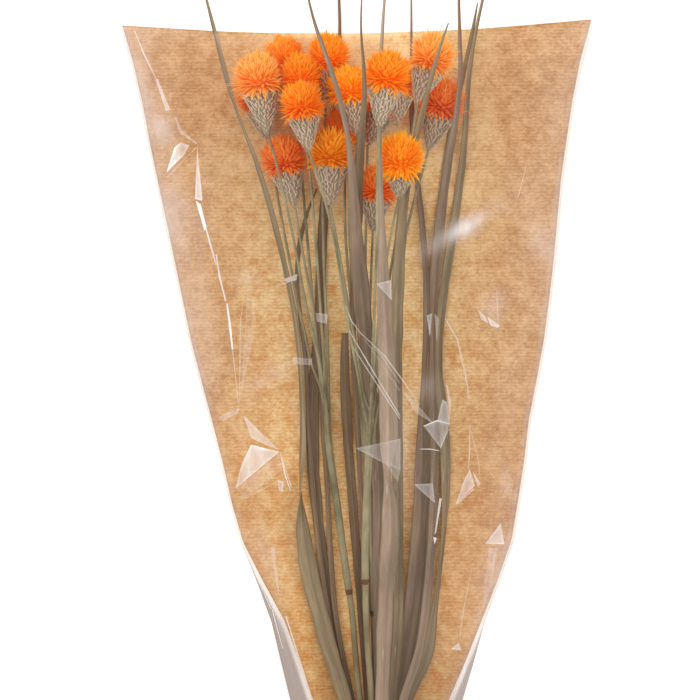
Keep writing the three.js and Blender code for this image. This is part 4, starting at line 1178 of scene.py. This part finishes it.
# %% Creases and milky patches
# How milky the painted reflection makes each flat facet, and its corners, x and y in mm.
FACETS = [
    (0.4, (-148.9, 247.9), (-147.3, 248.3), (-138, 225.7), (-141.2, 224.8)),
    (0.6, (-134.7, 197.9), (-130.1, 201.3), (-123.6, 198.9), (-127.3, 192.4), (-141.2, 179.4)),
    (0.55, (-117.7, 197.6), (-114, 158.2), (-119.5, 159.5)),
    (0.8, (-119, 158.2), (-115.3, 155.4), (-111, 138.8), (-112.5, 136)),
    (0.35, (-84, 0), (-57, -26), (-78, -17)),
    (0.62, (-78.3, -21.8), (-57.4, -26.8), (-89.9, -54.6), (-86.2, -38.9)),
    (0.2, (-57, -28.7), (-56.1, -40.7), (-82.9, -62), (-89.4, -54.6)),
    (0.6, (-58.8, -47.2), (-54.2, -49), (-54.8, -56.4), (-57.4, -55.5)),
    (0.25, (-103.2, -1.9), (-86.6, 5.6), (-88.4, 0.9), (-99.5, -4.6)),
    (0.15, (-81, 87), (-75.1, 85.1), (-76.4, 57.4), (-85.7, 14.8)),
    (0.28, (-47.4, 42.6), (-32.9, 41.6), (-33.3, 37), (-46.8, 37.9)),
    (0.4, (88.7, 77.7), (94, 73.3), (96.6, 67.9), (91.3, 70.6)),
    (0.5, (95.8, 72.4), (105, 66.2), (103.7, 64.4), (98.4, 66.2)),
    (0.45, (51, 73.3), (54.9, 75), (53.5, 57.3)),
    (0.4, (56.7, 75), (59.9, 71.5), (58.5, 53.7)),
    (0.3, (49, -7.8), (58.8, -3.9), (68.1, -6.4), (61.3, -23.8)),
    (0.4, (62.7, 11.7), (65.9, 9.9), (68.1, -6.1), (59.2, -3.4)),
    (0.28, (42.3, -50.5), (55.6, -50.1), (57.4, -64.7), (43.2, -52.2)),
    (0.45, (83.1, -39.5), (86.7, -52.2), (72.5, -65.9), (77.8, -50.5)),
    (0.45, (84.9, -40.7), (91.1, -50.5), (89.4, -53.1)),
    (0.35, (106.2, -80.3), (109.3, -95.8), (94.7, -95.2)),
    (0.16, (97.4, -98.4), (103.6, -98.4), (100, -125.1), (92.9, -144.6)),
    (0.8, (56, -89.5), (58.8, -90.4), (57, -94.9)),
    (0.6, (60.6, -61.1), (62.4, -61.1), (58.3, -86), (57, -87.8)),
    (0.27, (-1, -24.1), (31.8, -17), (31.8, -40.1), (19, -34.8)),
    (0.2, (13.2, -24.1), (31.8, -40.1), (30, -49)),
    (0.3, (14.1, 96.6), (24.7, 99.3), (25.6, 84.2)),
    (0.28, (-30.3, 75.3), (-21.5, 74.4), (-22.3, 67.3), (-29.5, 69.1)),
    (0.3, (-53.4, 100.2), (-43.7, 103.7), (-44.5, 99.3), (-51.7, 97.5)),
    (0.22, (33.6, 18.5), (44.3, 7.8), (56.7, -6.4), (42.5, 2.5)),
    (0.25, (-63.4, -97.7), (-60.7, -97.7), (-57.4, -133.6), (-60.7, -121.7)),
    (0.14, (97.8, -100.3), (101.8, -101.7), (103.2, -104.3), (93.8, -125.6)),
    (0.4, (75.2, -168.3), (77.6, -174.3), (69.6, -172.9)),
]
# How milky the painted highlight makes each fine ridge, its width, and the places that it runs through, in
# mm.
STREAKS = [
    (0.4, 2.4, (-134, 220), (-130, 209), (-118, 200)),
    (0.45, 1, (-164.7, 284.9), (-158.2, 268.2), (-148.2, 247.9)),
    (0.45, 0.9, (-118.4, 197.2), (-140.6, 175.8)),
    (0.7, 1.5, (-111.7, 138.8), (-107.9, 124.9), (-103.8, 111)),
    (0.8, 1.5, (-103.8, 118.4), (-101.4, 102.7), (-96.9, 84.2)),
    (0.9, 1.7, (-95.8, 82.3), (-93.6, 64.8), (-91.8, 48.5)),
    (0.55, 0.8, (-91.8, 48.1), (-87.5, 8.3)),
    (0.3, 1, (-82.9, 87.9), (-85.8, 71.2), (-86.8, 9.2)),
    (0.5, 0.8, (-57.4, -27.7), (-86.9, -49)),
    (0.75, 0.9, (-56.4, -27.7), (-53.3, -42.6), (-49.2, -55.5)),
    (0.45, 0.8, (-82.9, -62), (-57, -47.5)),
    (0.25, 1.6, (-74.2, 90.7), (-50.5, 97.7)),
    (0.35, 0.9, (124.7, 183.4), (118.7, 160.6)),
    (0.3, 0.9, (102.7, 94.6), (103.9, 67.9)),
    (0.38, 1.1, (64.7, 71.1), (73.4, 56.4), (79.1, 32.4), (82.8, 12)),
    (0.85, 0.9, (48.9, -7.8), (58.8, -3.8), (68.1, -6.4)),
    (0.65, 0.8, (61.3, -24.2), (67.2, -10)),
    (0.7, 0.8, (46, -24.7), (53.8, -24.7), (60.6, -26)),
    (0.35, 2, (65.9, 22.3), (68.1, 9.9), (67.7, -4.3)),
    (0.75, 0.9, (73.6, -65.4), (86.2, -54.2)),
    (0.5, 0.8, (83.1, -6.1), (83, -27.4), (81.9, -39.1)),
    (0.3, 0.8, (84, -11.4), (89.4, -32.7), (90.8, -48.7)),
    (0.6, 1, (-5.8, 62), (13.2, 30), (31.5, -0.3)),
    (0.55, 0.9, (-3.2, 50.5), (15.8, 21.2), (31.3, -2.3)),
    (0.45, 0.9, (3.9, 59.3), (20.5, 43.4), (33.6, 25.6), (45.7, 7.8)),
    (0.5, 0.9, (-8.5, 80.7), (-4.4, 69.6), (3.8, 59)),
    (0.35, 0.7, (5.7, 55.8), (31.5, 18.1)),
    (0.35, 0.7, (10.9, 50.5), (17.6, 44.3), (31.5, 23.5)),
    (0.6, 0.9, (-56.4, -28.6), (-48.5, -52.9)),
    (0.75, 1, (-52.7, -148.7), (-44, -176.5), (-32.8, -210.9)),
    (0.85, 1, (-76.1, -116.1), (-63.9, -143.6)),
    (0.85, 0.9, (-62.9, -144.3), (-55.1, -173.1)),
    (0.3, 0.8, (84.9, -112.3), (77.7, -149.6), (75.9, -165.6)),
    (0.85, 0.9, (94.9, -154.6), (88.8, -162.4)),
]
# Middle and reach of the soft patches of painted reflection, x, y, reach along and across in mm, turn in
# degrees, and how milky.
PAINTED_REFLECTION_PATCHES = [
    (76, 137, 27, 6, -148, 0.5),
    (82, 138, 10, 7, -153, 0.25),
    (136, 127, 13, 8, -78, 0.22),
    (101, 80, 13, 10, -82, 0.2),
    (-144, 211, 11, 9, -81, 0.28),
    (-134, 146, 28, 14, -84, 0.18),
    (-118, 63, 56, 14, -86, 0.14),
    (-160, 244, 42, 9, -78, 0.14),
    (-64, 29, 20, 7, 31, 0.16),
    (-81, 101, 7, 10, -60, 0.16),
    (-67, -104, 20, 7, -66, 0.2),
    (34, -24, 43, 7, -88, 0.12),
    (112, -51, 12, 5, -81, 0.2),
    (99, -114, 28, 9, -107, 0.12),
    (-115, 283, 46, 8, -5, 0.1),
    (50, 20, 12, 9, -132, 0.14),
]
print(len(FACETS), "facets,", len(STREAKS), "ridges and", len(PAINTED_REFLECTION_PATCHES), "soft patches")

# %% The film
FILM_GRID = (150, 200)
FILM_LOWEST = 3 * MM
STRIP_COLUMNS = 4
SEAL = 4 * MM
# painted reflection: the film is painted milkier towards its sides, by this much at the edge
SIDE_PAINTED_REFLECTION = 0.16
CRINKLE = 0.45 * MM
CRINKLE_SIZE = 26 * MM
LIFT = 0.5 * MM  # evening out the arch lowers its crown by less than this
FOLDED_PAST = 1.6 * MM  # film this far outside the paper is folded and doubled
FOLD_EDGE = 2 * MM
CELL = 3 * MM  # a face of the sheet is smaller than this
SNAP = 0.01 * MM  # a cut this close to a corner goes through it
RIM_WIDTH = 0.9 * MM  # a facet's painted reflection is milkiest along its creases, over about this width
LEAST_RIMMED = 1 * MM  # narrower facets are ridges
RIDGE_RIM = 0.4  # and count as this much rim all over
FACE_PAINTED_REFLECTION, RIM_PAINTED_REFLECTION = 0.7, 0.6  # share of a facet's painted reflection on its face, and added at its rim


def painted_reflection_at(x, y):
    """How milky the painted reflections of the soft patches and of the slope at the sides make the film at a
    place in mm.
    """
    total = SIDE_PAINTED_REFLECTION * min(1, abs(x / edges_at(film_span, y * MM)[1] * MM)) ** 3
    for middle_x, middle_y, along, across, turn, painted_reflection in PAINTED_REFLECTION_PATCHES:
        turned = Matrix.Rotation(math.radians(-turn), 2) @ Vector((x - middle_x, y - middle_y))
        total += painted_reflection * math.exp(-((turned.x / along) ** 2) - (turned.y / across) ** 2)
    return total


def ridge_facets(painted_reflection, width, *places):
    """A ridge as flat facets, one for each straight run, slimmest at its ends."""
    places = [Vector(place) for place in places]
    facets = []
    for k, (start, end) in enumerate(zip(places, places[1:])):
        aside = (end - start).orthogonal().normalized() * width / 2
        first, last = (0.5 if k == 0 else 1), (0.5 if k == len(places) - 2 else 1)
        corners = (start + aside * first, end + aside * last, end - aside * last, start - aside * first)
        facets.append((painted_reflection, *corners))
    return facets


def sides_of(corners):
    """The middle and reach of a facet, with a point on each of its sides and the way out there."""
    corners = [Vector((*corner, 0)) * MM for corner in corners]
    middle = sum(corners, Vector()) / len(corners)
    sides = []
    for start, end in zip(corners, [*corners[1:], corners[0]]):
        out = (end - start).cross(UP).normalized()
        sides.append((start, out if out.dot(middle - start) < 0 else -out))
    return middle, max((corner - middle).length for corner in corners), sides


def depth_in(place, sides):
    """How far inside a facet a place lies."""
    return min((start - place).xy.dot(out.xy) for start, out in sides)


def cut_facet(bm, corners, sheet):
    """Cuts a facet's outline into the sheet."""
    middle, reach, sides = sides_of(corners)
    near = [f for f in sheet if (f.calc_center_median().xy - middle.xy).length < reach + CELL]
    for start, out in sides:
        geom = [*near, *{e for f in near for e in f.edges}, *{v for f in near for v in f.verts}]
        made = bmesh.ops.bisect_plane(bm, geom=geom, dist=SNAP, plane_co=start, plane_no=out)["geom"]
        near = [item for item in made if isinstance(item, bmesh.types.BMFace)]
        sheet.update(near)


def lay_strips(row, arch, tree):
    """Lays the film's two narrow strips from the folds at its sides down to their seals on the paper."""
    strips = ((row[STRIP_COLUMNS - 1::-1], arch[0], 0, SEAL), (row[-STRIP_COLUMNS:], arch[-1], 1, -SEAL))
    for verts, edge, side, seal in strips:
        inner = edges_at(paper_span, edge.co.y)[side] + seal
        for k, vert in enumerate(verts):
            x = edge.co.x + (inner - edge.co.x) * (k + 1) / STRIP_COLUMNS
            vert.co = (x, edge.co.y, height_at(tree, x, edge.co.y, UP) or edge.co.z)


film_tree = tree_of("sleeve_film")
film_span = span_of("sleeve_film")
across = np.linspace(0.003, 0.997, FILM_GRID[0] + 1)
arch_share = 1 - np.abs(2 * across - 1) ** 4
places = laid_over(film_tree, film_span, across, FILM_GRID[1], FILM_LOWEST)
places[:, :, 2] = evened(places[:, :, 2], reach=6) + LIFT * arch_share
bm, rows = sheet_grid(FILM_GRID[0] + 2 * STRIP_COLUMNS, FILM_GRID[1])
for line, row in zip(places, rows):
    arch = row[STRIP_COLUMNS:-STRIP_COLUMNS]
    for vert, place, share in zip(arch, line, arch_share):
        vert.co = place
        vert.co.z += (noise.noise(vert.co / CRINKLE_SIZE) + 0.5) * CRINKLE * share
    lay_strips(row, arch, film_tree)
print("film:", len(bm.faces), "faces before its creases")

# %% [markdown]
# ### Creases in the film
# Each facet's outline is cut into the arch first, and only then is each face inside one painted milky as a
# reflection.
# So a later cut can't split a face that is finished. The folds carry a uv map of their own.

# %% Creases in the film
uv = bm.loops.layers.uv.active
folds = bm.loops.layers.uv.new("folds")
arch_verts = {vert for row in rows for vert in row[STRIP_COLUMNS:-STRIP_COLUMNS]}
arch_faces = {f for f in bm.faces if all(v in arch_verts for v in f.verts)}
all_facets = FACETS + [facet for ridge in STREAKS for facet in ridge_facets(*ridge)]
for painted_reflection, *corners in all_facets:
    cut_facet(bm, corners, arch_faces)
for face in bm.faces:
    for loop in face.loops:
        x, y = loop.vert.co.xy
        left, right = edges_at(paper_span, y)
        outside = max(left - x, x - right) - FOLDED_PAST
        loop[uv].uv = (0, painted_reflection_at(x / MM, y / MM))
        loop[folds].uv = (min(1, max(0, outside / FOLD_EDGE)), 0)
arch_faces = list(arch_faces)
centres = np.array([face.calc_center_median() for face in arch_faces])
# painted reflection: each face inside a facet is painted milky, most along its rim
for painted_reflection, *corners in all_facets:
    middle, reach, sides = sides_of(corners)
    wide = depth_in(middle, sides) > LEAST_RIMMED
    inside = np.linalg.norm(centres[:, :2] - np.array(middle.xy), axis=1) < reach
    for start, out in sides:
        inside &= (centres[:, :2] - np.array(start.xy)) @ np.array(out.xy) < 0
    for index in np.flatnonzero(inside):
        for loop in arch_faces[index].loops:
            rim = math.exp(-max(0, depth_in(loop.vert.co, sides)) / RIM_WIDTH) if wide else RIDGE_RIM
            loop[uv].uv.x = max(loop[uv].uv.x, painted_reflection * (FACE_PAINTED_REFLECTION + RIM_PAINTED_REFLECTION * rim))
cover = keep(bm, "sleeve_film_sheet", "film", [film], ["sleeve_film"])
print("film:", len(cover.data.polygons), "faces")

# %% [markdown]
# ## Sizes and the finish
# The pieces may stand a little outside their solids, but the whole stays the size of the model.
# Both boxes are written out, so that they can be compared.

# %% Compare the sizes
dressed_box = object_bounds()
for corner, dressed in zip(cad_box, dressed_box):
    print("corner in mm:", [round(c / MM, 1) for c in corner], "->", [round(c / MM, 1) for c in dressed])
